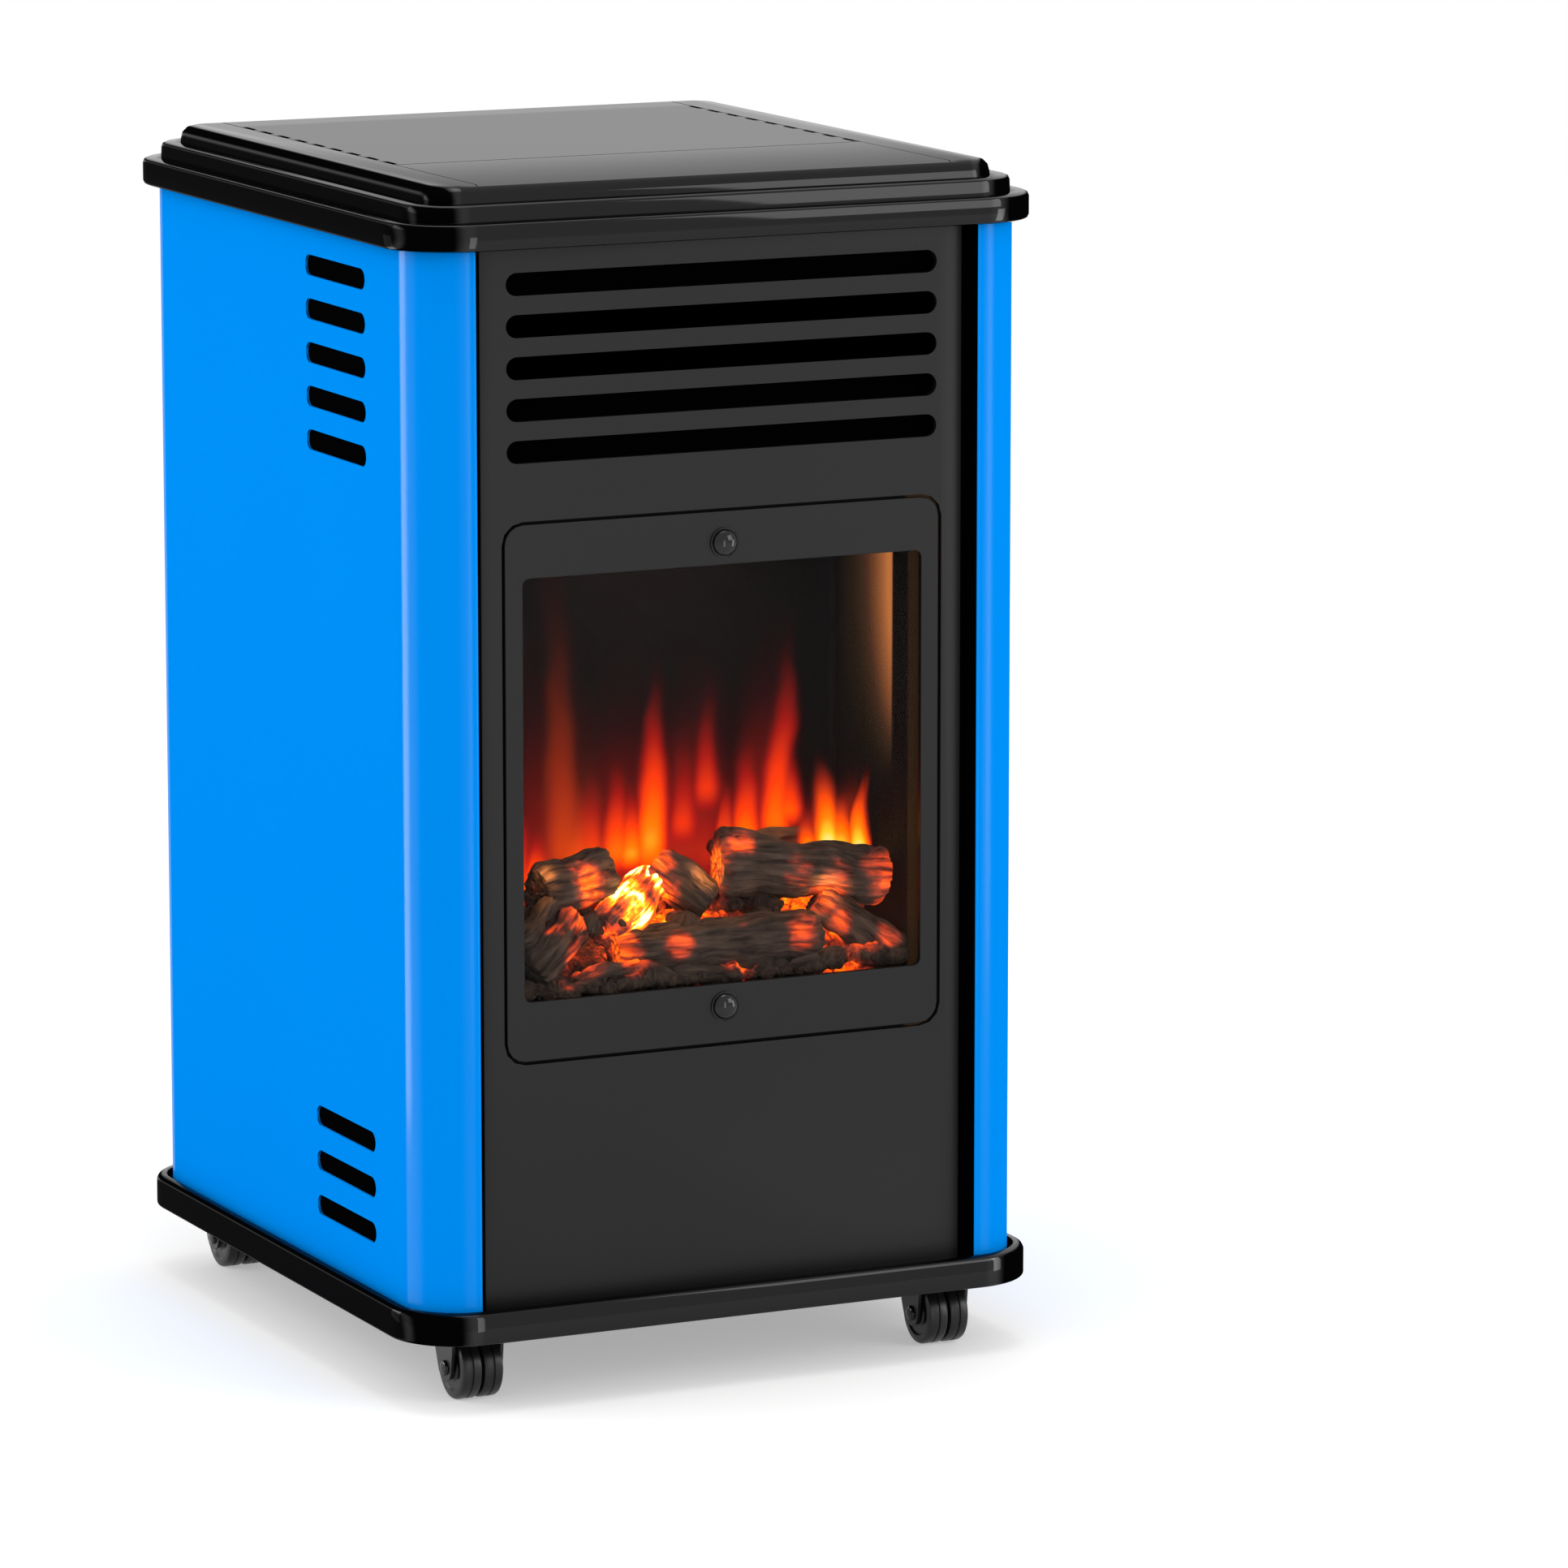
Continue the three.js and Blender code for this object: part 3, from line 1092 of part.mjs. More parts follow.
// Copper pipe from the valve, through the shield and down to the injector.
function burnerPipe() {
  const drop = INJECTOR_X + INJECTOR_W / 2;
  const pass = DECK_Z - 40;
  return pipe(
    [
      [KNOB_X + 12, CONTROL_Y - 17.4, PORT_Z],
      [KNOB_X + 12, CONTROL_Y - 52, PORT_Z],
      [drop, SHIELD_Y + 18, pass],
      [drop, BURNER_Y, pass],
      [drop, BURNER_Y, BURNER_Z + 7],
    ],
    PIPE_R, 6, 18,
  );
}

// The brass tail that the bottle's hose pushes onto, pointing back into the bay.
function hoseNozzle() {
  const [x, y, z] = [KNOB_X - 8, CONTROL_Y, PORT_Z];
  const shank = 5 - GAP;
  const profile = [[0, 15], [shank, 15], [shank, 26 + GAP], [8.5, 26 + GAP], [8.5, 33], [4.4, 34]];
  for (let barb = 0; barb < 3; barb++) profile.push([5.4, 36 + 6 * barb], [4.2, 41 + 6 * barb]);
  profile.push([4, 56], [2.6, 56], [2.6, 30], [0, 30]);
  return solid(turned(profile, 8).rotateX(-Math.PI / 2).translate(x, y, z));
}

// ---------------------------------------------------------------- casters
function casterPlate() {
  const half = PLATE_SIZE / 2;
  const plate = alongZ(roundedRect(-half, half, -half, half, 6, 2), PLATE_Z - PLATE_T, PLATE_Z);
  const race = alongZ(circle(13, 0, 0, 10), FORK_ROOF + FORK_ROOF_T + GAP, PLATE_Z - 1);
  const pin = alongZ(circle(KINGPIN_D / 2, 0, 0, 10), FORK_ROOF - 1.2, PLATE_Z - 1);
  return add(plate, race, pin);
}

// The fork: a round roof over the wheels and two cheeks that taper to the axle.
function casterFork() {
  const half = FORK_L / 2;
  const top = FORK_ROOF + FORK_ROOF_T;
  const bossR = 8;
  const roof = alongZ(circle(half, 0, 0, 12), FORK_ROOF, top);
  const cheek = outline(
    [
      [-half, top],
      [-half + 1, FORK_ROOF - 4],
      [-TRAIL - bossR, AXLE_Z - bossR, bossR],
      [-TRAIL + bossR, AXLE_Z - bossR, bossR],
      [half - 1, FORK_ROOF - 4],
      [half, top],
    ],
    2,
  );
  const cheeks = [-1, 1].map((side) => alongX(cheek, ...span(side, FORK_X, FORK_X + FORK_T)));
  const bridge = box(-FORK_X - 0.5, FORK_X + 0.5, -half + 4, half - 4, FORK_ROOF, top);
  const bore = alongX(circle(AXLE_D / 2 + GAP, -TRAIL, AXLE_Z, 8), -FORK_X - 5, FORK_X + 5);
  const kingpin = alongZ(circle(KINGPIN_D / 2 + GAP, 0, 0, 10), FORK_ROOF - OVER, top + OVER);
  return cut(add(roof, bridge, ...cheeks), bore, kingpin);
}

// The axle with a riveted head at each end.
function casterAxle() {
  const [r, end] = [AXLE_D / 2, FORK_X + FORK_T + GAP];
  const half = [[r, end], [r + 2, end], [r + 1.6, end + 1.4], [0, end + 2.8]];
  const profile = [...half.map(([a, b]) => [a, -b]).reverse(), ...half];
  return solid(turned(profile, 8).rotateY(Math.PI / 2).translate(0, -TRAIL, AXLE_Z));
}

// One of the twin wheels, lying along X, with a groove round its tread.
function casterWheel(side) {
  const [r, w, bore] = [WHEEL_D / 2, WHEEL_W, AXLE_D / 2 + GAP];
  const profile = [
    [bore, 0],
    [r, 0],
    [r, w / 2 - 0.7],
    [r - 0.9, w / 2],
    [r, w / 2 + 0.7],
    [r, w - 2],
    [r - 2, w],
    [bore, w],
  ];
  const lying = turned(profile, 14, true).rotateY(Math.PI / 2).rotateX(Math.PI / 2);
  const wheel = solid(lying.translate(TWIN_GAP / 2, -TRAIL, AXLE_Z));
  return side > 0 ? wheel : mirrored(wheel);
}

function caster(name, x, y) {
  const group = new THREE.Group();
  group.position.set(x, y, 0);
  piece(`caster_plate_${name}`, casterPlate(), "zinc_steel", group);
  piece(`caster_fork_${name}`, casterFork(), "moulded_black", group);
  piece(`caster_axle_${name}`, casterAxle(), "black_chrome", group);
  piece(`caster_wheel_${name}_l`, casterWheel(-1), "moulded_black", group);
  piece(`caster_wheel_${name}_r`, casterWheel(1), "moulded_black", group);
  heater.add(group);
}

// ---------------------------------------------------------------- assembly
piece("base_tray", baseTray(), "gloss_black");
piece("side_panel_left", mirrored(sidePanel()), "blue_enamel");
piece("side_panel_right", sidePanel(), "blue_enamel");
piece("front_panel", frontPanel(), "satin_black");
piece("rear_frame", rearFrame(), "satin_black");
piece("rear_door", rearDoor(), "satin_black");
piece("door_hinge_pin_lower", doorPin(TAB_LOW, DOOR_Z0 + 14), "zinc_steel");
piece("door_hinge_pin_upper", doorPin(DOOR_Z1 - 14, TAB_HIGH + TAB_T), "zinc_steel");
piece("heat_shield", heatShield(), "inner_black");
piece("firebox", firebox(), "firebox_steel");
piece("heat_deflector", heatDeflector(), "inner_black");
piece("top_cap", topCap(), "gloss_black");
piece("top_lid", topLid(), "gloss_black");
piece("lid_hinge_pin_left", lidPin(-1), "zinc_steel");
piece("lid_hinge_pin_right", lidPin(1), "zinc_steel");
piece("control_deck", controlDeck(), "satin_black");
piece("window_frame", windowFrame(), "satin_black");
piece("window_glass", windowGlass(), "glass");
piece("dome_nut_lower", domeNut(DOME_ZS[0]), "black_chrome");
piece("dome_nut_upper", domeNut(DOME_ZS[1]), "black_chrome");

piece("burner", burner(), "zinc_steel");
piece("injector", injector(), "brass");
for (const [name, body] of Object.entries(fireBed()))
  piece(name, body, name === "ember_bed" ? "ember_ceramic" : "charred_ceramic");
piece("pilot_bracket", pilotBracket(), "zinc_steel");
piece("spark_electrode", sparkElectrode(), "white_ceramic");
piece("pilot_burner", pilotBurner(), "brass");
piece("thermocouple", thermocouple(), "brass");

piece("gas_valve", gasValve(), "aluminium");
piece("valve_spindle", valveSpindle(), "brass");
piece("control_knob", controlKnob(), "moulded_black");
piece("piezo_igniter", piezoIgniter(), "moulded_black");
piece("piezo_button", piezoButton(), "moulded_black");
piece("burner_pipe", burnerPipe(), "brass");
piece("hose_nozzle", hoseNozzle(), "brass");

caster("fl", -CASTER_X, -DEPTH / 2 + CASTER_FRONT);
caster("fr", CASTER_X, -DEPTH / 2 + CASTER_FRONT);
caster("rl", -CASTER_X, DEPTH / 2 - CASTER_REAR);
caster("rr", CASTER_X, DEPTH / 2 - CASTER_REAR);

export default heater;
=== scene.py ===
"""Looks of a portable gas cabinet heater: enamelled cabinet, glazed fire with ceramic logs, casters."""
import json
import math
import random

import bmesh
import bpy
from mathutils import Matrix, Vector, noise


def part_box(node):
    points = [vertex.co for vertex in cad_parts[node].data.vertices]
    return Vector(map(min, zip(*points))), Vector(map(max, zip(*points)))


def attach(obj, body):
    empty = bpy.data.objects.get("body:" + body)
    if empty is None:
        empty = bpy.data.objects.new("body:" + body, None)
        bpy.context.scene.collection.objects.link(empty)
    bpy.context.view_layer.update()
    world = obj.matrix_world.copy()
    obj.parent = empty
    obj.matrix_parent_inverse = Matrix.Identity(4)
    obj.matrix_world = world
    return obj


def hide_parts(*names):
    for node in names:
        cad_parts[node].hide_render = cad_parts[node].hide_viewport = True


bl_info = {
    "name": "Cabinet heater looks",
    "version": (1, 0, 0),
    "blender": (4, 5, 0),
    "location": "3D View > Sidebar > Heater",
    "description": "Dresses the heater's frame with enamel, steel, glass, logs and flames",
    "category": "Object",
}

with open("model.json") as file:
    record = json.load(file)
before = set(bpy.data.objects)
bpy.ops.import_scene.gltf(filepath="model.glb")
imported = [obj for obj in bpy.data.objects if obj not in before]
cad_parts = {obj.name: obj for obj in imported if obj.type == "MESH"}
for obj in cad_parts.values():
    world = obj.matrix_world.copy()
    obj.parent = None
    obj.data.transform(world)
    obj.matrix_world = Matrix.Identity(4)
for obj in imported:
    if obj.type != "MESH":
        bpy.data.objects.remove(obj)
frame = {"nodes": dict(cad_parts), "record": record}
NODES = frame["nodes"]
MM = 0.001

# The Mix node's colour sockets.
MIX_LOW, MIX_HIGH, MIX_RESULT = 6, 7, 2

# Angles in degrees and distances in metres for meshes.
SMOOTH_ANGLE = 32.0
MERGE = 2e-6
ARC_CUTS = 3

# Sizes in millimetres and steps of arcs in degrees, as the CAD has them.
CORNER = (170.0, 190.0)
CORNER_STEP = 22.5
FOLD_STEP = 15.0
SLOT_STEP = 45.0
CORNER_REACH = 60.0
SLOT_REACH = 9.5
LOUVRE_END = 137.51
LOUVRES = tuple(690.0 - 25.4 * i for i in range(5))
VENT_HALF = 40.36
VENTS = tuple((-93.0, 688.0 - 27.0 * i) for i in range(5)) + tuple((-98.0, 97.8 + 28.6 * i) for i in range(3))
RETURN_X = 168.3
FLAT_MARGIN = 2.0
FIRE_DEPTH = 104.0
FIRE_FRONT = -210.2
FIRE_SILL = 249.9
BED_HALF = 122.0


# ---------------------------------------------------------------- settings
class HeaterFinish(bpy.types.PropertyGroup):
    """Colours of the cabinet's finishes."""

    blue: bpy.props.FloatVectorProperty(
        name="Blue enamel", description="Colour of the side panels", subtype="COLOR", size=3,
        default=(0.0, 0.272, 0.9), min=0.0, max=1.0,
    )
    gloss_black: bpy.props.FloatVectorProperty(
        name="Gloss black", description="Colour of the cap and the tray", subtype="COLOR", size=3,
        default=(0.0012, 0.0012, 0.0013), min=0.0, max=1.0,
    )
    satin_black: bpy.props.FloatVectorProperty(
        name="Satin black", description="Colour of the front panel and the window frame", subtype="COLOR", size=3,
        default=(0.006, 0.006, 0.0062), min=0.0, max=1.0,
    )
    char: bpy.props.FloatVectorProperty(
        name="Charred wood", description="Colour of the logs where they don't glow", subtype="COLOR", size=3,
        default=(0.075, 0.05, 0.037), min=0.0, max=1.0,
    )


class HeaterFire(bpy.types.PropertyGroup):
    """Strength of the fire effect."""

    flame_strength: bpy.props.FloatProperty(
        name="Flame strength", description="Brightness of the flames", default=1.25, min=0.0,
    )
    ember_strength: bpy.props.FloatProperty(
        name="Ember strength", description="Brightness of the glowing logs and embers", default=1.3, min=0.0,
    )
    lamp_strength: bpy.props.FloatProperty(
        name="Firelight", description="Power of the small lamps among the logs", default=1.0, min=0.0, unit="POWER",
    )


class HeaterView(bpy.types.PropertyGroup):
    """Camera and lamps of the product view."""

    place: bpy.props.FloatVectorProperty(
        name="Camera place", description="Where the camera stands", subtype="TRANSLATION", unit="LENGTH", size=3,
        default=(-2.1379, -4.7398, 1.2897),
    )
    heading: bpy.props.FloatProperty(
        name="Heading", description="Turn of the camera from +Y towards +X", subtype="ANGLE", unit="ROTATION",
        default=math.radians(25.705),
    )
    pitch: bpy.props.FloatProperty(
        name="Pitch", description="Tilt of the camera below the horizon", subtype="ANGLE", unit="ROTATION",
        default=math.radians(10.357),
    )
    lens: bpy.props.FloatProperty(
        name="Lens", description="Focal length on a sensor 36 mm wide", default=190.6, min=1.0,
    )
    daylight: bpy.props.FloatProperty(
        name="Room light", description="Strength of the even light all round", default=1.0, min=0.0,
    )


# ---------------------------------------------------------------- shader groups
def node_group(name, inputs, outputs):
    """A shader group with named inputs and their defaults, and named outputs.

    A default that is a tuple makes a vector input, and an output named Color is a colour; the rest are floats.
    """
    group = bpy.data.node_groups.new(name, "ShaderNodeTree")
    for label, default in inputs.items():
        kind = "Vector" if isinstance(default, tuple) else "Float"
        socket = group.interface.new_socket(name=label, in_out="INPUT", socket_type="NodeSocket" + kind)
        socket.default_value = default
    for label in outputs:
        kind = "Color" if label == "Color" else "Float"
        group.interface.new_socket(name=label, in_out="OUTPUT", socket_type="NodeSocket" + kind)
    return group, group.nodes.new("NodeGroupInput").outputs, group.nodes.new("NodeGroupOutput").inputs


def add_node(tree, kind, inputs=(), **settings):
    """A node with its settings, and inputs given as (socket, value or output socket)."""
    made = tree.nodes.new("ShaderNode" + kind)
    for key, value in settings.items():
        setattr(made, key, value)
    for socket, value in inputs:
        if isinstance(value, bpy.types.NodeSocket):
            tree.links.new(value, made.inputs[socket])
        else:
            made.inputs[socket].default_value = value
    return made


def math_node(tree, operation, first, second=0.0, clamp=False):
    """The output of a Math node."""
    return add_node(tree, "Math", [(0, first), (1, second)], operation=operation, use_clamp=clamp).outputs[0]


def fade(tree, value, low, high, kind="SMOOTHSTEP"):
    """How far a value has come from low to high, which may lie below low, held between 0 and 1."""
    made = add_node(tree, "MapRange", [("Value", value), ("From Min", low), ("From Max", high)],
                    interpolation_type=kind)
    return made.outputs["Result"]


def noise_node(tree, place, scale, detail):
    """The value of a noise texture."""
    return add_node(tree, "TexNoise", [("Vector", place), ("Scale", scale), ("Detail", detail)]).outputs["Fac"]


def object_place(tree):
    """The object coordinates."""
    return add_node(tree, "TexCoord").outputs["Object"]


def split_place(tree):
    """The object coordinates as X, Y and Z outputs."""
    return add_node(tree, "SeparateXYZ", [("Vector", object_place(tree))]).outputs


def powder_group():
    """Fine orange peel of a stoved coat, with a slow drift in its gloss."""
    group, enter, leave = node_group(
        "powder_coat",
        {"Grain": 900.0, "Drift": 6.0, "Gloss": 0.35, "Gloss Drift": 0.05},
        ("Height", "Roughness", "Tone"),
    )
    place = object_place(group)
    fine = noise_node(group, place, enter["Grain"], 2.0)
    slow = noise_node(group, place, enter["Drift"], 3.0)
    drift = math_node(group, "MULTIPLY", math_node(group, "SUBTRACT", slow, 0.5), enter["Gloss Drift"])
    group.links.new(fine, leave["Height"])
    group.links.new(math_node(group, "ADD", enter["Gloss"], drift, clamp=True), leave["Roughness"])
    group.links.new(slow, leave["Tone"])
    return group


def flame_tongue_group():
    """How hot one tongue of flame is at a place: a soft, leaning streak that narrows to its tip."""
    group, enter, leave = node_group(
        "flame_tongue",
        {"Across": 0.0, "Foot": 0.3, "Rise": 0.06, "Width": 0.01, "Lean": 0.0, "Heat": 1.0, "Sway": 0.0},
        ("Heat",),
    )
    place = split_place(group)
    over = math_node(group, "SUBTRACT", place["Z"], enter["Foot"])
    rise = math_node(group, "DIVIDE", over, enter["Rise"])
    held = math_node(group, "MULTIPLY", rise, 1.0, clamp=True)
    sway = math_node(group, "MULTIPLY", enter["Sway"], held)
    lean = math_node(group, "MULTIPLY", enter["Lean"], math_node(group, "POWER", held, 1.6))
    middle = math_node(group, "ADD", enter["Across"], math_node(group, "ADD", sway, lean))
    off = math_node(group, "ABSOLUTE", math_node(group, "SUBTRACT", place["X"], middle))
    left = math_node(group, "SUBTRACT", 1.0, held)
    taper = math_node(group, "MULTIPLY", math_node(group, "POWER", left, 0.5), enter["Width"])
    side = math_node(group, "DIVIDE", off, math_node(group, "MAXIMUM", taper, 0.0005))
    soft = fade(group, side, 1.7, 0.0, "SMOOTHERSTEP")
    foot = fade(group, rise, -0.16, 0.14)
    along = math_node(group, "MULTIPLY", foot, math_node(group, "POWER", left, 1.25))
    both = math_node(group, "MULTIPLY", soft, along)
    group.links.new(math_node(group, "MULTIPLY", both, enter["Heat"]), leave["Heat"])
    return group


def color_ramp(tree, fac, stops):
    """The colour output of a ramp with (position, colour) stops."""
    made = add_node(tree, "ValToRGB", [("Fac", fac)])
    ramp = made.color_ramp
    while len(ramp.elements) < len(stops):
        ramp.elements.new(0.5)
    for element, (position, color) in zip(ramp.elements, stops):
        element.position = position
        element.color = (*color, 1.0)
    return made.outputs["Color"]


HEAT_STOPS = (
    (0.0, (0.0, 0.0, 0.0)),
    (0.12, (0.1, 0.004, 0.004)),
    (0.3, (0.5, 0.008, 0.004)),
    (0.48, (1.0, 0.045, 0.0)),
    (0.66, (1.0, 0.19, 0.0)),
    (0.82, (1.0, 0.55, 0.02)),
    (1.0, (1.0, 0.92, 0.42)),
)


def glow_color_group():
    """Turns heat into the colour of glowing gas or char, and into how much it covers."""
    group, enter, leave = node_group("glow_color", {"Heat": 0.5, "Warmth": 0.0}, ("Color", "Cover"))
    ramp = add_node(group, "SeparateColor", [("Color", color_ramp(group, enter["Heat"], HEAT_STOPS))]).outputs
    amber = math_node(group, "MULTIPLY", ramp["Red"], enter["Warmth"])
    green = math_node(group, "ADD", ramp["Green"], amber)
    color = add_node(group, "CombineColor", [("Red", ramp["Red"]), ("Green", green), ("Blue", ramp["Blue"])])
    group.links.new(color.outputs["Color"], leave["Color"])
    group.links.new(fade(group, enter["Heat"], 0.0, 0.55), leave["Cover"])
    return group


def heat_spot_group():
    """A ball of heat that fades from its middle to its reach, broken up by noise."""
    group, enter, leave = node_group(
        "heat_spot", {"Middle": (0.0, 0.0, 0.0), "Reach": 0.02, "Heat": 1.0}, ("Heat",))
    place = object_place(group)
    away = add_node(group, "VectorMath", [(0, place), (1, enter["Middle"])], operation="DISTANCE")
    broken = noise_node(group, place, 90.0, 3.0)
    ragged = math_node(group, "MULTIPLY", math_node(group, "SUBTRACT", broken, 0.5), 0.9)
    share = math_node(group, "ADD", math_node(group, "DIVIDE", away.outputs["Value"], enter["Reach"]), ragged)
    heat = math_node(group, "MULTIPLY", fade(group, share, 1.0, 0.35), enter["Heat"])
    group.links.new(heat, leave["Heat"])
    return group


def char_bark_group():
    """Charred bark that follows each log's own grain: long fibres, patches and cracks."""
    group, enter, leave = node_group(
        "char_bark", {"Fibre": 260.0, "Stretch": 0.16}, ("Tone", "Height", "Crack"))
    grain = add_node(group, "Attribute", attribute_name="grain").outputs["Vector"]
    squeeze = add_node(group, "CombineXYZ", [("X", 1.0), ("Y", 1.0), ("Z", enter["Stretch"])])
    along = add_node(group, "VectorMath", [(0, grain), (1, squeeze.outputs["Vector"])],
                     operation="MULTIPLY").outputs["Vector"]
    fibres = add_node(group, "TexNoise", [("Vector", along), ("Scale", enter["Fibre"]), ("Detail", 5.0),
                                          ("Roughness", 0.62), ("Distortion", 0.4)]).outputs["Fac"]
    patches = noise_node(group, grain, 70.0, 3.0)
    plates = add_node(group, "TexVoronoi", [("Vector", along), ("Scale", 110.0)], feature="DISTANCE_TO_EDGE")
    crack = fade(group, plates.outputs["Distance"], 0.16, 0.02, "LINEAR")
    mixed = math_node(group, "ADD", math_node(group, "MULTIPLY", fibres, 0.7),
                      math_node(group, "MULTIPLY", patches, 0.3))
    sunk = math_node(group, "MULTIPLY", crack, 0.5)
    group.links.new(fade(group, mixed, 0.34, 0.66, "LINEAR"), leave["Tone"])
    group.links.new(math_node(group, "SUBTRACT", fibres, sunk), leave["Height"])
    group.links.new(crack, leave["Crack"])
    return group


def painted_fold_sheen_group():
    """Painted sheen: how much clear gloss a face has by which way it points, in front and on top, on the flanks, and
    where a fold begins or ends, so fronts and fold edges shine and flanks stay dark.
    """
    group, enter, leave = node_group(
        "painted_fold_sheen",
        {"Front": 0.5, "First Fold": 0.7, "Last Fold": 0.7, "Flank": 0.02, "Flank From": 0.9925,
         "Flank To": 0.9995},
        ("Gloss",),
    )
    facing = add_node(group, "SeparateXYZ", [("Vector", add_node(group, "TexCoord").outputs["Normal"])])
    sideways = math_node(group, "ABSOLUTE", facing.outputs["X"])
    off_front = fade(group, sideways, 0.03, 0.1)
    on_flank = fade(group, sideways, enter["Flank From"], enter["Flank To"])
    first = math_node(group, "MULTIPLY", off_front, fade(group, sideways, 0.35, 0.16))
    last = math_node(group, "MULTIPLY", fade(group, sideways, 0.84, 0.94),
                     math_node(group, "SUBTRACT", 1.0, on_flank))
    front = math_node(group, "SUBTRACT", 1.0, off_front)
    total = 0.0
    for share, name in ((front, "Front"), (first, "First Fold"), (last, "Last Fold"), (on_flank, "Flank")):
        total = math_node(group, "ADD", math_node(group, "MULTIPLY", share, enter[name]), total)
    group.links.new(total, leave["Gloss"])
    return group


GROUP_MAKERS = {
    "powder_coat": powder_group,
    "painted_fold_sheen": painted_fold_sheen_group,
    "flame_tongue": flame_tongue_group,
    "glow_color": glow_color_group,
    "heat_spot": heat_spot_group,
    "char_bark": char_bark_group,
}
GROUPS = {}


# ---------------------------------------------------------------- materials
def place_group(tree, name, **values):
    """A node of a shared group, made once, with its values set; underscores stand for spaces."""
    if name not in GROUPS:
        GROUPS[name] = GROUP_MAKERS[name]()
    made = tree.nodes.new("ShaderNodeGroup")
    made.node_tree = GROUPS[name]
    for key, value in values.items():
        made.inputs[key.replace("_", " ").title()].default_value = value
    return made


def hottest(tree, heats):
    """The highest of several heats."""
    top = heats[0]
    for heat in heats[1:]:
        top = math_node(tree, "MAXIMUM", top, heat)
    return top


def new_material(name):
    """A material with a Principled shader; returns the material, its tree and the shader."""
    material = bpy.data.materials.new(name)
    material.use_nodes = True
    tree = material.node_tree
    return material, tree, tree.nodes["Principled BSDF"]


def set_sockets(shader, **sockets):
    """Sets a shader's own sockets; underscores stand for spaces, and a colour has three values."""
    for key, value in sockets.items():
        shader.inputs[key.replace("_", " ")].default_value = (*value, 1.0) if isinstance(value, tuple) else value


def bump(tree, shader, height, strength, distance):
    """Feeds a height into the shader's normal."""
    made = add_node(tree, "Bump", [("Height", height), ("Strength", strength), ("Distance", distance)])
    tree.links.new(made.outputs["Normal"], shader.inputs["Normal"])


def blend(tree, factor, low, high):
    """A colour that a varying factor draws from low to high."""
    made = add_node(tree, "Mix", data_type="RGBA")
    made.inputs[MIX_LOW].default_value = [*low, 1]
    made.inputs[MIX_HIGH].default_value = [*high, 1]
    tree.links.new(factor, made.inputs[0])
    return made.outputs[MIX_RESULT]


def toned(tree, color, tone, spread):
    """A colour that drifts a little lighter and darker with tone."""
    return blend(tree, tone, [c * (1 - spread) for c in color], [min(1, c * (1 + spread)) for c in color])


def coated(name, color, gloss, gloss_drift=0.04, spread=0.05, grain=900.0, peel=0.05, **sockets):
    """A painted or plated finish with fine grain."""
    material, tree, shader = new_material(name)
    powder = place_group(tree, "powder_coat", grain=grain, gloss=gloss, gloss_drift=gloss_drift)
    tree.links.new(toned(tree, color, powder.outputs["Tone"], spread), shader.inputs["Base Color"])
    tree.links.new(powder.outputs["Roughness"], shader.inputs["Roughness"])
    bump(tree, shader, powder.outputs["Height"], peel, 0.0002)
    set_sockets(shader, **sockets)
    return material


def with_painted_sheen(material, roughness, **amounts):
    """Lays a clear gloss over a coated finish, as thick as each way of facing asks for: a painted sheen that
    brightens fronts and fold edges and darkens flanks.
    """
    tree = material.node_tree
    shader = tree.nodes["Principled BSDF"]
    gloss = place_group(tree, "painted_fold_sheen", **amounts)
    tree.links.new(gloss.outputs["Gloss"], shader.inputs["Coat Weight"])
    set_sockets(shader, Coat_Roughness=roughness)
    return material


def tinted_glass():
    """Heat-resistant glass with a faint warm tint."""
    material, tree, shader = new_material("tinted_glass")
    powder = place_group(tree, "powder_coat", grain=12.0, gloss=0.02, gloss_drift=0.01)
    tree.links.new(toned(tree, (0.93, 0.9, 0.89), powder.outputs["Tone"], 0.02), shader.inputs["Base Color"])
    set_sockets(shader, Roughness=0.0, Transmission_Weight=1.0, IOR=1.1)
    return material


def char(name, spots, fibre=260.0, strength=1.0):
    """Charred ceramic that glows in its cracks near the given (middle, reach, heat) spots."""
    material, tree, shader = new_material(name)
    bark = place_group(tree, "char_bark", fibre=fibre).outputs
    color = bpy.context.scene.heater_finish.char
    shade = blend(tree, bark["Tone"], [0.08 * c for c in color], [1.6 * c for c in color])
    tree.links.new(shade, shader.inputs["Base Color"])
    set_sockets(shader, Roughness=0.85, Specular_IOR_Level=0.2)
    bump(tree, shader, bark["Height"], 1.0, 0.0024)
    if spots:
        heats = [place_group(tree, "heat_spot", middle=m, reach=r, heat=h).outputs["Heat"] for m, r, h in spots]
        pattern = math_node(tree, "SUBTRACT", math_node(tree, "MULTIPLY", bark["Tone"], 0.75),
                            math_node(tree, "MULTIPLY", bark["Crack"], 0.4))
        mottled = math_node(tree, "MULTIPLY", hottest(tree, heats), math_node(tree, "ADD", pattern, 0.42))
        glow = place_group(tree, "glow_color", warmth=0.05)
        tree.links.new(mottled, glow.inputs["Heat"])
        tree.links.new(glow.outputs["Color"], shader.inputs["Emission Color"])
        set_sockets(shader, Emission_Strength=strength * bpy.context.scene.heater_fire.ember_strength)
    return material


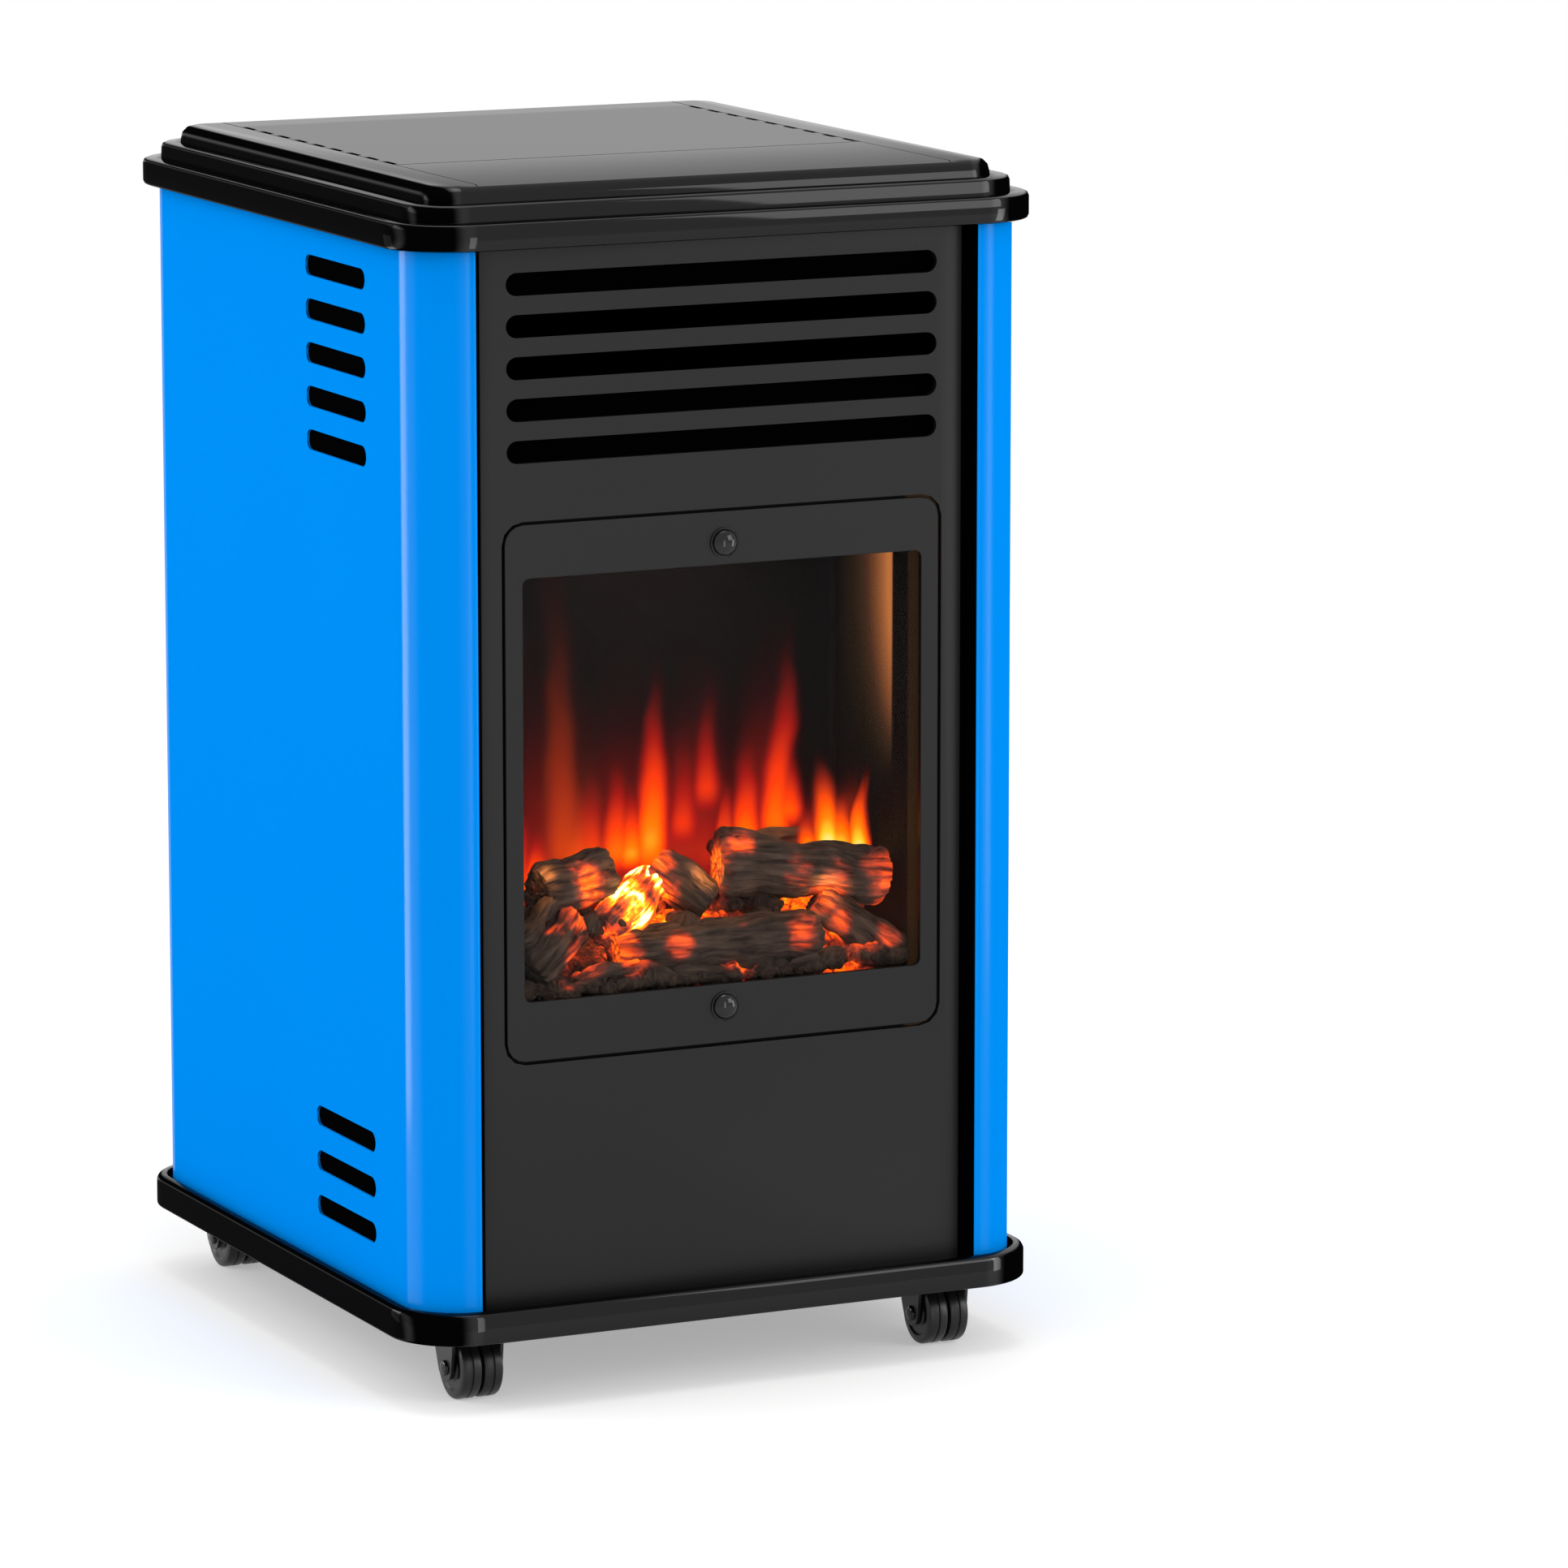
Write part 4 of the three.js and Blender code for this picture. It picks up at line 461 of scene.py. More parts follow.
def flames(name, tongues, warmth):
    """Flame gas made of (across, foot, rise, width, lean, heat) tongues, in millimetres."""
    material, tree, shader = new_material(name)
    waver = noise_node(tree, object_place(tree), 24.0, 1.0)
    sway = math_node(tree, "MULTIPLY", math_node(tree, "SUBTRACT", waver, 0.5), 0.026)
    heats = []
    for across, foot, rise, width, lean, heat in tongues:
        tongue = place_group(tree, "flame_tongue", across=across * MM, foot=foot * MM, rise=rise * MM,
                             width=width * MM, lean=lean * MM, heat=heat)
        tree.links.new(sway, tongue.inputs["Sway"])
        heats.append(tongue.outputs["Heat"])
    glow = place_group(tree, "glow_color", warmth=warmth)
    tree.links.new(hottest(tree, heats), glow.inputs["Heat"])
    tree.links.new(glow.outputs["Color"], shader.inputs["Emission Color"])
    tree.links.new(glow.outputs["Cover"], shader.inputs["Alpha"])
    set_sockets(shader, Emission_Strength=bpy.context.scene.heater_fire.flame_strength,
                Base_Color=(0.0, 0.0, 0.0), Specular_IOR_Level=0.0, Roughness=1.0)
    return material


def fire_walls_with_painted_glow():
    """Smoked steel with painted firelight: an emissive streak painted on the right wall near its front corner, and a
    faint painted glow along its front lip, stand in for the fire's reflection.
    """
    wall_from, wall_to = 0.1245, 0.1275
    deep, near, feather = -0.112, -0.1695, 0.0035
    foot, top = 0.35, 0.49
    lip_from, lip_to, painted_lip_glow = -0.187, -0.19, 0.09
    painted_glow_tints = ((0.0, (0.0, 0.0, 0.0)), (0.09, (0.022, 0.011, 0.004)), (0.2, (0.06, 0.022, 0.01)),
             (1.0, (0.52, 0.17, 0.045)))
    material, tree, shader = new_material("firebox_steel")
    powder = place_group(tree, "powder_coat", grain=500.0, gloss=0.6, gloss_drift=0.1)
    tree.links.new(toned(tree, (0.0034, 0.0026, 0.0032), powder.outputs["Tone"], 0.25), shader.inputs["Base Color"])
    tree.links.new(powder.outputs["Roughness"], shader.inputs["Roughness"])
    place = split_place(tree)
    side = fade(tree, place["X"], wall_from, wall_to, "LINEAR")
    streak = fade(tree, place["Y"], deep, near, "LINEAR")
    painted_haze = math_node(tree, "ADD", math_node(tree, "POWER", streak, 4.0), math_node(tree, "MULTIPLY", streak, 0.2))
    held = math_node(tree, "MULTIPLY", painted_haze, fade(tree, place["Y"], near - feather, near))
    upper = math_node(tree, "MULTIPLY", held, fade(tree, place["Z"], foot, top))
    lip = math_node(tree, "MULTIPLY", fade(tree, place["Y"], lip_from, lip_to), painted_lip_glow)
    total = math_node(tree, "MULTIPLY", math_node(tree, "ADD", upper, lip), side)
    # Painted reflection: the streak and the lip glow go in as emission, not as light the wall receives.
    tree.links.new(color_ramp(tree, total, painted_glow_tints), shader.inputs["Emission Color"])
    set_sockets(shader, Specular_IOR_Level=0.08, Emission_Strength=1.0)
    return material


def make_finishes():
    """Every finish of the CAD nodes, by the record's slot names."""
    colors = bpy.context.scene.heater_finish
    return {
        # The cap, tray and side panels get a painted sheen: their gloss is set by which way each face points.
        "gloss_black": with_painted_sheen(
            coated("gloss_black", colors.gloss_black, 0.25, 0.03, peel=0.02, Specular_IOR_Level=0.0),
            0.05, front=0.52, first_fold=0.7, last_fold=0.7, flank=0.025, flank_from=0.88, flank_to=0.955),
        "blue_enamel": with_painted_sheen(
            coated("blue_enamel", colors.blue, 0.3, spread=0.02, peel=0.02, Specular_IOR_Level=0.0),
            0.16, front=0.0, first_fold=0.2, last_fold=0.38, flank=0.0),
        "satin_black": coated("satin_black", colors.satin_black, 0.4, peel=0.06, Specular_IOR_Level=0.23),
        "zinc_steel": coated("zinc_steel", (0.42, 0.43, 0.44), 0.4, 0.2, 0.12, grain=240.0, Metallic=1.0),
        "firebox_steel": fire_walls_with_painted_glow(),
        "glass": tinted_glass(),
        "black_chrome": coated("black_chrome", (0.003, 0.003, 0.0033), 0.06, 0.02, 0.02, peel=0.0,
                               Specular_IOR_Level=0.35),
        "charred_ceramic": char("charred_ceramic", ()),
        "ember_ceramic": char("ember_ceramic", heat_spots("bed"), fibre=420.0, strength=1.3),
        "white_ceramic": coated("white_ceramic", (0.8, 0.77, 0.7), 0.2, 0.05, 0.04),
        "brass": coated("brass", (0.62, 0.42, 0.16), 0.32, 0.1, 0.1, grain=300.0, Metallic=1.0),
        "aluminium": coated("aluminium", (0.5, 0.5, 0.51), 0.45, 0.1, 0.08, grain=500.0, peel=0.3, Metallic=1.0),
        "moulded_black": coated("moulded_black", (0.005, 0.005, 0.0055), 0.34, 0.08, 0.08, peel=0.1,
                                Specular_IOR_Level=0.35),
        # Near-black with no shine; on the panel returns and the plates behind the openings it is painted shade.
        "inner_black": coated("inner_black", (0.001, 0.001, 0.001), 0.7, 0.1, 0.1, Specular_IOR_Level=0.0),
    }


FINISHES = {}

# Where the logs and the bed glow: (x, y, z, reach) in millimetres and a heat, 1 being yellow-white.
GLOW = {
    "bed": ((17, -195, 258, 19, 0.95), (90, -183, 258, 28, 0.72), (138, -168, 272, 22, 0.72),
            (-84, -193, 266, 20, 0.7), (-56, -183, 274, 26, 0.75), (40, -165, 288, 28, 0.75),
            (66, -172, 286, 17, 0.95), (-40, -160, 282, 34, 0.95), (0, -140, 286, 60, 0.7),
            (90, -140, 286, 60, 0.66), (-100, -150, 280, 40, 0.66)),
    "log_front": ((59, -200, 276, 14, 0.62), (18, -202, 292, 12, 0.36), (-24, -200, 274, 13, 0.45),
                  (-60, -190, 274, 18, 0.66)),
    "log_back_right": ((20, -160, 314, 21, 0.7), (33, -168, 326, 14, 0.55), (66, -182, 309, 13, 0.5),
                       (86, -184, 302, 18, 0.62), (122, -184, 303, 20, 0.52), (128, -182, 286, 16, 0.6)),
    "log_back_left": ((-74, -166, 309, 19, 0.8), (-98, -160, 310, 9, 0.45)),
    "log_left_corner": ((-79, -186, 293, 18, 0.75), (-84, -196, 270, 18, 0.6), (-104, -190, 290, 9, 0.5)),
    "log_middle": ((-20, -150, 314, 20, 0.78), (-14, -158, 300, 15, 0.85)),
    "log_right_front": ((76, -190, 295, 20, 0.7), (88, -198, 276, 15, 0.66), (121, -198, 268, 11, 0.5)),
    "coals": ((-99, -203, 261, 10, 0.55), (17, -196, 262, 16, 0.75), (-52, -190, 266, 18, 0.6),
              (104, -190, 262, 16, 0.55), (-84, -193, 266, 14, 0.6), (0, -150, 290, 30, 0.55),
              (92, -150, 290, 40, 0.5)),
    "split_log": ((-47, -168, 290, 30, 1.5), (-25, -155, 309, 22, 1.5)),
}


def heat_spots(name):
    """The glowing places of a piece as (middle, reach, heat) in metres."""
    return [((x * MM, y * MM, z * MM), reach * MM, heat) for x, y, z, reach, heat in GLOW[name]]


# ---------------------------------------------------------------- mesh helpers
def finish_piece(name, mesh, body, finish, replaced=()):
    """Puts a finished bmesh into the scene as a piece that rides on a body."""
    data = bpy.data.meshes.new(name)
    mesh.to_mesh(data)
    mesh.free()
    made = bpy.data.objects.new(name, data)
    bpy.context.scene.collection.objects.link(made)
    data.materials.append(FINISHES[finish] if isinstance(finish, str) else finish)
    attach(made, body)
    if replaced:
        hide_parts(*replaced)
    return made


def body_of(node):
    """The CAD body that a node belongs to."""
    for body, nodes in frame["record"]["behaviour"]["bodies"].items():
        if node in nodes:
            return body
    raise ValueError(f"no body holds {node}")


def finish_fine(node, mesh, finish):
    """Puts a finished bmesh into the scene in the place of a CAD node."""
    return finish_piece(node + "_fine", mesh, body_of(node), finish, (node,))


def merged(node):
    """A bmesh copy of a CAD node with its doubled vertices merged."""
    mesh = bmesh.new()
    mesh.from_mesh(NODES[node].data)
    bmesh.ops.remove_doubles(mesh, verts=mesh.verts, dist=MERGE)
    return mesh


def smooth_by_angle(mesh, degrees):
    """Smooth faces, with each edge sharper than the angle kept sharp."""
    for face in mesh.faces:
        face.smooth = True
    limit = math.radians(degrees)
    for edge in mesh.edges:
        edge.smooth = len(edge.link_faces) == 2 and edge.calc_face_angle(0.0) < limit


def ease_arcs(mesh, middle, axes, signs, step, reach):
    """Cuts the chords of a faceted arc (middle and reach in millimetres) and pushes them out to its radius.

    axes are the two axes of the arc's plane, and signs the side of the middle that it lies on, 0 for both.
    """
    turn = math.radians(step)

    def polar(vert):
        out = [vert.co[axis] - value * MM for axis, value in zip(axes, middle)]
        if any(value * sign < -1e-6 for value, sign in zip(out, signs)):
            return None
        radius = math.hypot(*out)
        return (radius, math.atan2(out[1], out[0])) if 1e-5 < radius < reach * MM else None

    chords = []
    for edge in mesh.edges:
        first, second = (polar(vert) for vert in edge.verts)
        if first and second and abs(first[0] - second[0]) < 2e-5:
            apart = abs((first[1] - second[1] + math.pi) % math.tau - math.pi)
            if abs(apart - turn) < 0.03:
                chords.append(edge)
    bmesh.ops.subdivide_edges(mesh, edges=chords, cuts=ARC_CUTS, use_grid_fill=True)
    for vert in mesh.verts:
        place = polar(vert)
        if place:
            grown = math.cos(place[1] % turn - turn / 2) / math.cos(turn / 2)
            for axis, value in zip(axes, middle):
                vert.co[axis] = value * MM + (vert.co[axis] - value * MM) * grown


def corner_arcs(step):
    """The rounded corners of the cabinet's outline, seen from above."""
    x, y = CORNER
    return [((sx * x, sy * y), (0, 1), (sx, sy), step, CORNER_REACH) for sx in (-1, 1) for sy in (-1, 1)]


def refined(node, degrees=SMOOTH_ANGLE, edge=0.0, arcs=(), cuts=()):
    """A merged copy of a node with its flat faces joined, its arcs eased and its edges softened.

    Each cut is an axis and a place on it in millimetres, and flat faces are not joined across it.
    """
    mesh = merged(node)
    for axis, place in cuts:
        cut_at, facing = Vector(), Vector()
        cut_at[axis], facing[axis] = place * MM, 1.0
        everything = mesh.verts[:] + mesh.edges[:] + mesh.faces[:]
        made = bmesh.ops.bisect_plane(mesh, geom=everything, dist=1e-6, plane_co=cut_at, plane_no=facing)
        for item in made["geom_cut"]:
            if isinstance(item, bmesh.types.BMEdge):
                item.seam = True
    bmesh.ops.dissolve_limit(mesh, angle_limit=math.radians(0.5), verts=mesh.verts, edges=mesh.edges,
                             delimit={"SEAM"})
    for arc in arcs:
        ease_arcs(mesh, *arc)
    bmesh.ops.recalc_face_normals(mesh, faces=mesh.faces)
    smooth_by_angle(mesh, degrees)
    slot = next(row["material_slot"] for row in frame["record"]["subparts"] if row["node"] == node)
    made = finish_fine(node, mesh, slot)
    if edge:
        softened = made.modifiers.new("edges", "BEVEL")
        softened.width = edge * MM
        softened.segments = 2
        softened.limit_method = "ANGLE"
        softened.angle_limit = math.radians(degrees)
    return made


def turned(profile, middle, axis, steps=48):
    """A full turn about an axis of a closed profile of (out, along) pairs in millimetres."""
    mesh = bmesh.new()
    middle, axis = Vector(middle), Vector(axis)
    side = axis.orthogonal().normalized()
    verts = [mesh.verts.new(middle + (side * out + axis * along) * MM) for out, along in profile]
    edges = [mesh.edges.new(pair) for pair in zip(verts, verts[1:] + verts[:1])]
    bmesh.ops.spin(mesh, geom=verts + edges, cent=middle, axis=axis, angle=math.tau, steps=steps, use_merge=True)
    bmesh.ops.remove_doubles(mesh, verts=mesh.verts, dist=1e-6)
    bmesh.ops.dissolve_degenerate(mesh, dist=1e-7, edges=mesh.edges)
    bmesh.ops.recalc_face_normals(mesh, faces=mesh.faces)
    smooth_by_angle(mesh, SMOOTH_ANGLE)
    return mesh


def bark_depth(place, seed):
    """How far bark stands out at a place in log-local millimetres: knuckles, ridges and long cracks."""
    x, y, z = place
    shift = Vector((seed * 17.0, seed * 5.0, seed * 11.0))
    knuckle = noise.noise(Vector((x, y, z)) * 0.045 + shift)
    ridge = noise.noise(Vector((x * 0.16, y * 0.16, z * 0.035)) + shift)
    fine = noise.noise(Vector((x * 0.5, y * 0.5, z * 0.12)) + shift)
    crack = max(0.0, 1.0 - abs(noise.noise(Vector((x * 0.11, y * 0.11, z * 0.022)) - shift)) / 0.07)
    return 3.6 * knuckle + 2.6 * ridge + 1.1 * fine - 2.2 * crack


def log_mesh(start, end, radii, bow=0.0, seed=0.0, around=84, along=54):
    """A charred log between two points in millimetres, with its local places kept as the grain attribute."""
    start, end = Vector(start), Vector(end)
    length = (end - start).length
    mesh = bmesh.new()
    bmesh.ops.create_cone(mesh, cap_ends=True, segments=around, radius1=1.0, radius2=1.0, depth=length)
    sides = [edge for edge in mesh.edges if abs(edge.verts[0].co.z - edge.verts[1].co.z) > length / 2]
    bmesh.ops.subdivide_edges(mesh, edges=sides, cuts=along, use_grid_fill=True)
    for share in (0.3, 0.35, 0.35):
        caps = [face for face in mesh.faces if len(face.verts) > 4]
        bmesh.ops.inset_region(mesh, faces=caps, thickness=share, depth=0.0, use_even_offset=False)
    grain = mesh.verts.layers.float_vector.new("grain")
    turn = Vector((0, 1, 0)).rotation_difference((end - start).normalized()).to_matrix()
    middle = (start + end) / 2
    for vert in mesh.verts:
        x, z, y = vert.co
        share = min(1.0, max(0.0, y / length + 0.5))
        angle = math.atan2(z, x)
        knots = 0.09 * math.sin(3 * angle + seed) + 0.07 * math.sin(7 * share + 2 * angle + seed * 2)
        radius = (radii[0] + (radii[1] - radii[0]) * share) * (1 + knots)
        local = Vector((x * radius, z * radius, y))
        out = bark_depth(local, seed)
        edge_fall = min(1.0, (length / 2 - abs(y)) / 4.0)
        rounding = 2.4 * (1.0 - edge_fall) ** 2
        flat = math.hypot(x, z)
        radius += (out - rounding) * flat
        if edge_fall < 0.01:
            y += math.copysign(1.1 * noise.noise(local * 0.35) - 0.8 * flat, y)
        bent = Vector((x * radius + bow * 4 * share * (1 - share), y, z * radius))
        vert[grain] = local * MM + Vector((seed, seed, seed)) * 0.1
        vert.co = (turn @ bent + middle) * MM
    bmesh.ops.recalc_face_normals(mesh, faces=mesh.faces)
    smooth_by_angle(mesh, 50.0)
    return mesh


def lump(target, middle, radii, seed):
    """Adds one knobbly coal to a mesh; middle and radii in millimetres."""
    layer = target.verts.layers.float_vector["grain"]
    turn = Matrix.Rotation(seed * 2.4, 3, "Z") @ Matrix.Rotation(seed * 1.7, 3, "X")
    made = bmesh.ops.create_icosphere(target, subdivisions=3, radius=1.0)["verts"]
    for vert in made:
        direction = vert.co.normalized()
        rough = 1.0 + 0.35 * noise.noise(direction * 1.6 + Vector((seed, 0, 0)))
        rough += 0.12 * noise.noise(direction * 4.5 + Vector((0, seed, 0)))
        local = Vector([value * radius * rough for value, radius in zip(direction, radii)])
        vert[layer] = local * MM + Vector((0.1 * seed, 0, 0))
        vert.co = (turn @ local + Vector(middle)) * MM


# ---------------------------------------------------------------- pieces
class HEATER_OT_finishes(bpy.types.Operator):
    """Make the finishes and put them on the frame's nodes"""

    bl_idname = "heater.finishes"
    bl_label = "Finishes"

    def execute(self, context):
        FINISHES.update(make_finishes())
        for row in frame["record"]["subparts"]:
            data = NODES[row["node"]].data
            data.materials.clear()
            data.materials.append(FINISHES[row["material_slot"]])
        return {"FINISHED"}


class HEATER_OT_cabinet(bpy.types.Operator):
    """Make the fine versions of the sheet-metal pieces and the dark plates of painted shade behind their openings"""

    bl_idname = "heater.cabinet"
    bl_label = "Cabinet"

    def execute(self, context):
        for node in ("top_cap", "top_lid"):
            refined(node, edge=0.5, arcs=corner_arcs(CORNER_STEP))
        refined("base_tray", edge=0.6, arcs=corner_arcs(CORNER_STEP))
        slots = [((sx * LOUVRE_END, z), (0, 2), (sx, 0), SLOT_STEP, SLOT_REACH) for z in LOUVRES for sx in (-1, 1)]
        refined("front_panel", edge=0.5, arcs=slots)
        refined("window_frame", edge=0.4)
        cuts = [(2, z) for y, z in VENTS] + [(1, sy * (CORNER[1] - FLAT_MARGIN)) for sy in (-1, 1)]
        vents = [((y + sy * VENT_HALF, z), (1, 2), (sy, 0), SLOT_STEP, SLOT_REACH)
                 for y, z in VENTS for sy in (-1, 1)]
        for node in ("side_panel_left", "side_panel_right"):
            self.paint_return_shade(refined(node, arcs=corner_arcs(FOLD_STEP) + vents, cuts=cuts))
        for side, hand in ((-1, "left"), (1, "right")):
            # Dark plates behind the side vents, the door slots and the louvres stand in for the shade inside the
            # cabinet.
            for row, y, z, tall in (("upper", -96.0, 634.0, 126.0), ("lower", -99.0, 126.0, 82.0)):
                self.make_shade_plate(f"vent_shade_plate_{row}_{hand}", "cabinet", (0.6, 104.0, tall), (side * 202.5, y, z))
        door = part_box("rear_door")[0].z / MM
        self.make_shade_plate("door_shade_plate", body_of("rear_door"), (132.0, 0.6, 82.0), (0.0, 222.4, door + 83.0))
        self.make_shade_plate("louvre_shade_plate", "cabinet", (318.0, 1.0, 158.0), (0.0, -202.5, 632.0))
        return {"FINISHED"}

    def paint_return_shade(self, panel):
        """Gives the folded-in returns behind the front and rear panels a matt black coat: painted shade for a recess
        that falls in shadow.
        """
        panel.data.materials.append(FINISHES["inner_black"])
        for face in panel.data.polygons:
            if abs(face.center.x) < RETURN_X * MM:
                face.material_index = 1

    def make_shade_plate(self, name, body, size, middle):
        """A matt black plate inside the cabinet, behind a row of openings, put there as painted shade so the openings
        read dark.
        """
        mesh = bmesh.new()
        bmesh.ops.create_cube(mesh, size=1.0)
        bmesh.ops.scale(mesh, verts=mesh.verts, vec=Vector(size) * MM)
        bmesh.ops.translate(mesh, verts=mesh.verts, vec=Vector(middle) * MM)
        finish_piece(name, mesh, body, "inner_black")


class HEATER_OT_small_parts(bpy.types.Operator):
    """Make the turned nuts and wheels and the fine versions of the moulded pieces"""

    bl_idname = "heater.small_parts"
    bl_label = "Small parts"

    def execute(self, context):
        for node in ("dome_nut_lower", "dome_nut_upper"):
            self.make_dome(node)
        for node in NODES:
            if node.startswith("caster_wheel"):
                self.make_wheel(node)
            elif node.startswith(("caster_axle", "caster_fork", "control_knob", "piezo", "gas_valve", "hose_nozzle")):
                refined(node, 40.0)
        return {"FINISHED"}

    def make_dome(self, node):
        """A polished domed nut on a narrow collar."""
        low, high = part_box(node)
        radius, crown, collar, rise, stud, steps = 9.25, 8.4, 1.2, 6.0, 3.0, 12
        face = low.y / MM + rise
        depth = high.y / MM - face
        turns = [math.pi / 2 * i / steps for i in range(steps + 1)]
        dome = [(crown * math.cos(turn), collar + (rise - collar) * math.sin(turn)) for turn in turns]
        profile = [(0, -depth), (stud, -depth), (stud, 0.3), (radius, 0.3), (radius, collar - 0.3),
                   (radius - 0.4, collar), *dome]
        middle = (0.0, face * MM, (low.z + high.z) / 2)
        mesh = turned(profile, middle, (0, -1, 0), 64)
        finish_fine(node, mesh, "black_chrome")

    def make_wheel(self, node):
        """A moulded wheel with a banded tread and a dished side."""
        low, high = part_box(node)
        axle_low, axle_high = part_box(node.replace("wheel", "axle")[:-2])
        half = (high.x - low.x) / 2 / MM
        radius = (high.z - low.z) / 2 / MM
        bore = 3.3
        inner = [(bore, 0), (bore, half), (8, half), (9.2, half - 1), (13.6, half - 1), (14.8, half),
                 (radius - 2, half), (radius - 0.6, half - 0.7), (radius, half - 2), (radius, 0.9),
                 (radius - 0.9, 0.3)]
        profile = inner + [(out, -along) for out, along in reversed(inner)]
        middle = ((low.x + high.x) / 2, (axle_low.y + axle_high.y) / 2, (low.z + high.z) / 2)
        mesh = turned(profile, middle, (1, 0, 0))
        finish_fine(node, mesh, "moulded_black")


class HEATER_OT_fire_bed(bpy.types.Operator):
    """Make the charred logs, the split log, the coals and the bed under them"""

    bl_idname = "heater.fire_bed"
    bl_label = "Fire bed"

    logs = {
        "log_front": ((-0.5, 0.26, 21), (0.6, 0.26, 20), (14, 18), 4, 0.4),
        "log_back_right": ((0.17, 0.48, 64), (1.04, 0.31, 52), (19, 17), 3, 1.9),
        "log_back_left": ((-0.85, 0.44, 58), (-0.43, 0.58, 62), (16, 17), 2, 3.1),
        "log_left_corner": ((-0.96, 0.24, 12), (-0.7, 0.36, 42), (16, 14), 1, 4.4),
        "log_middle": ((-0.14, 0.61, 64), (0.08, 0.41, 40), (15, 14), 0, 5.2),
        "log_right_front": ((0.66, 0.34, 38), (1.05, 0.22, 2), (12, 13), 2, 6.6),
    }
    sticks = (
        ((-92, -198, 257), (-46, -194, 264), 4.5, 7.7),
        ((-50, -192, 264), (-20, -199, 250), 3.2, 8.3),
        ((-26, -196, 259), (22, -200, 251), 4.6, 9.1),
        ((52, -198, 255), (92, -194, 259), 4.4, 10.2),
        ((-128, -192, 285), (-96, -172, 303), 7.0, 11.6),
        ((28, -140, 318), (122, -136, 322), 8.5, 12.4),
    )

    def execute(self, context):
        for node, (start, end, radii, bow, seed) in self.logs.items():
            ends = [(x * BED_HALF, FIRE_FRONT + back * FIRE_DEPTH, FIRE_SILL + up) for x, back, up in (start, end)]
            mesh = log_mesh(*ends, radii, bow, seed)
            finish_fine(node, mesh, char(node, heat_spots(node)))
        self.make_bed()
        self.make_coals()
        for i, (start, end, radius, seed) in enumerate(self.sticks):
            mesh = log_mesh(start, end, (radius, radius * 0.8), 1.5, seed, 32, 24)
            finish_piece(f"stick_{i}", mesh, "cabinet", char(f"stick_{i}", heat_spots("coals")))
        mesh = log_mesh((-66, -178, 281), (-22, -152, 306), (15, 13), 2, 2.7, 60, 30)
        finish_piece("split_log", mesh, "cabinet", char("split_log", heat_spots("split_log"), strength=1.8))
        return {"FINISHED"}

    def make_bed(self):
        """The moulded bank under the logs, roughened into small embers."""
        mesh = merged("ember_bed")
        for _ in range(3):
            coarse = [edge for edge in mesh.edges if edge.calc_length() > 5.0 * MM]
            bmesh.ops.subdivide_edges(mesh, edges=coarse, cuts=1, use_grid_fill=True)
        bmesh.ops.triangulate(mesh, faces=mesh.faces)
        grain = mesh.verts.layers.float_vector.new("grain")
        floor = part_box("ember_bed")[0].z + 1.0 * MM
        for vert in mesh.verts:
            vert[grain] = vert.co
            if vert.co.z > floor:
                vert.co.z += 2.2 * MM * noise.noise(vert.co / MM * 0.13) - 1.0 * MM
        bmesh.ops.recalc_face_normals(mesh, faces=mesh.faces)
        smooth_by_angle(mesh, 60.0)
        finish_fine("ember_bed", mesh, "ember_ceramic")

    def make_coals(self):
        """Small broken coals along the front of the bed and between the logs."""
        draw = random.Random(11)
        mesh = bmesh.new()
        mesh.verts.layers.float_vector.new("grain")
        for i in range(46):
            x = -126 + 252 * (i + draw.uniform(-0.3, 0.3)) / 45
            y = draw.uniform(-200, -190)
            size = draw.uniform(4.0, 7.5)
            lump(mesh, (x, y, 252 + draw.uniform(-3, 5)), (size * 1.5, size, size * 0.9), 20.0 + i)
        for i in range(26):
            x = draw.uniform(-120, 120)
            y = draw.uniform(-182, -138)
            size = draw.uniform(4.0, 8.0)
            lump(mesh, (x, y, 284 + draw.uniform(-4, 6)), (size * 1.4, size, size), 90.0 + i)
        smooth_by_angle(mesh, 60.0)
        finish_piece("coals", mesh, "cabinet", char("coals", heat_spots("coals"), fibre=420.0))


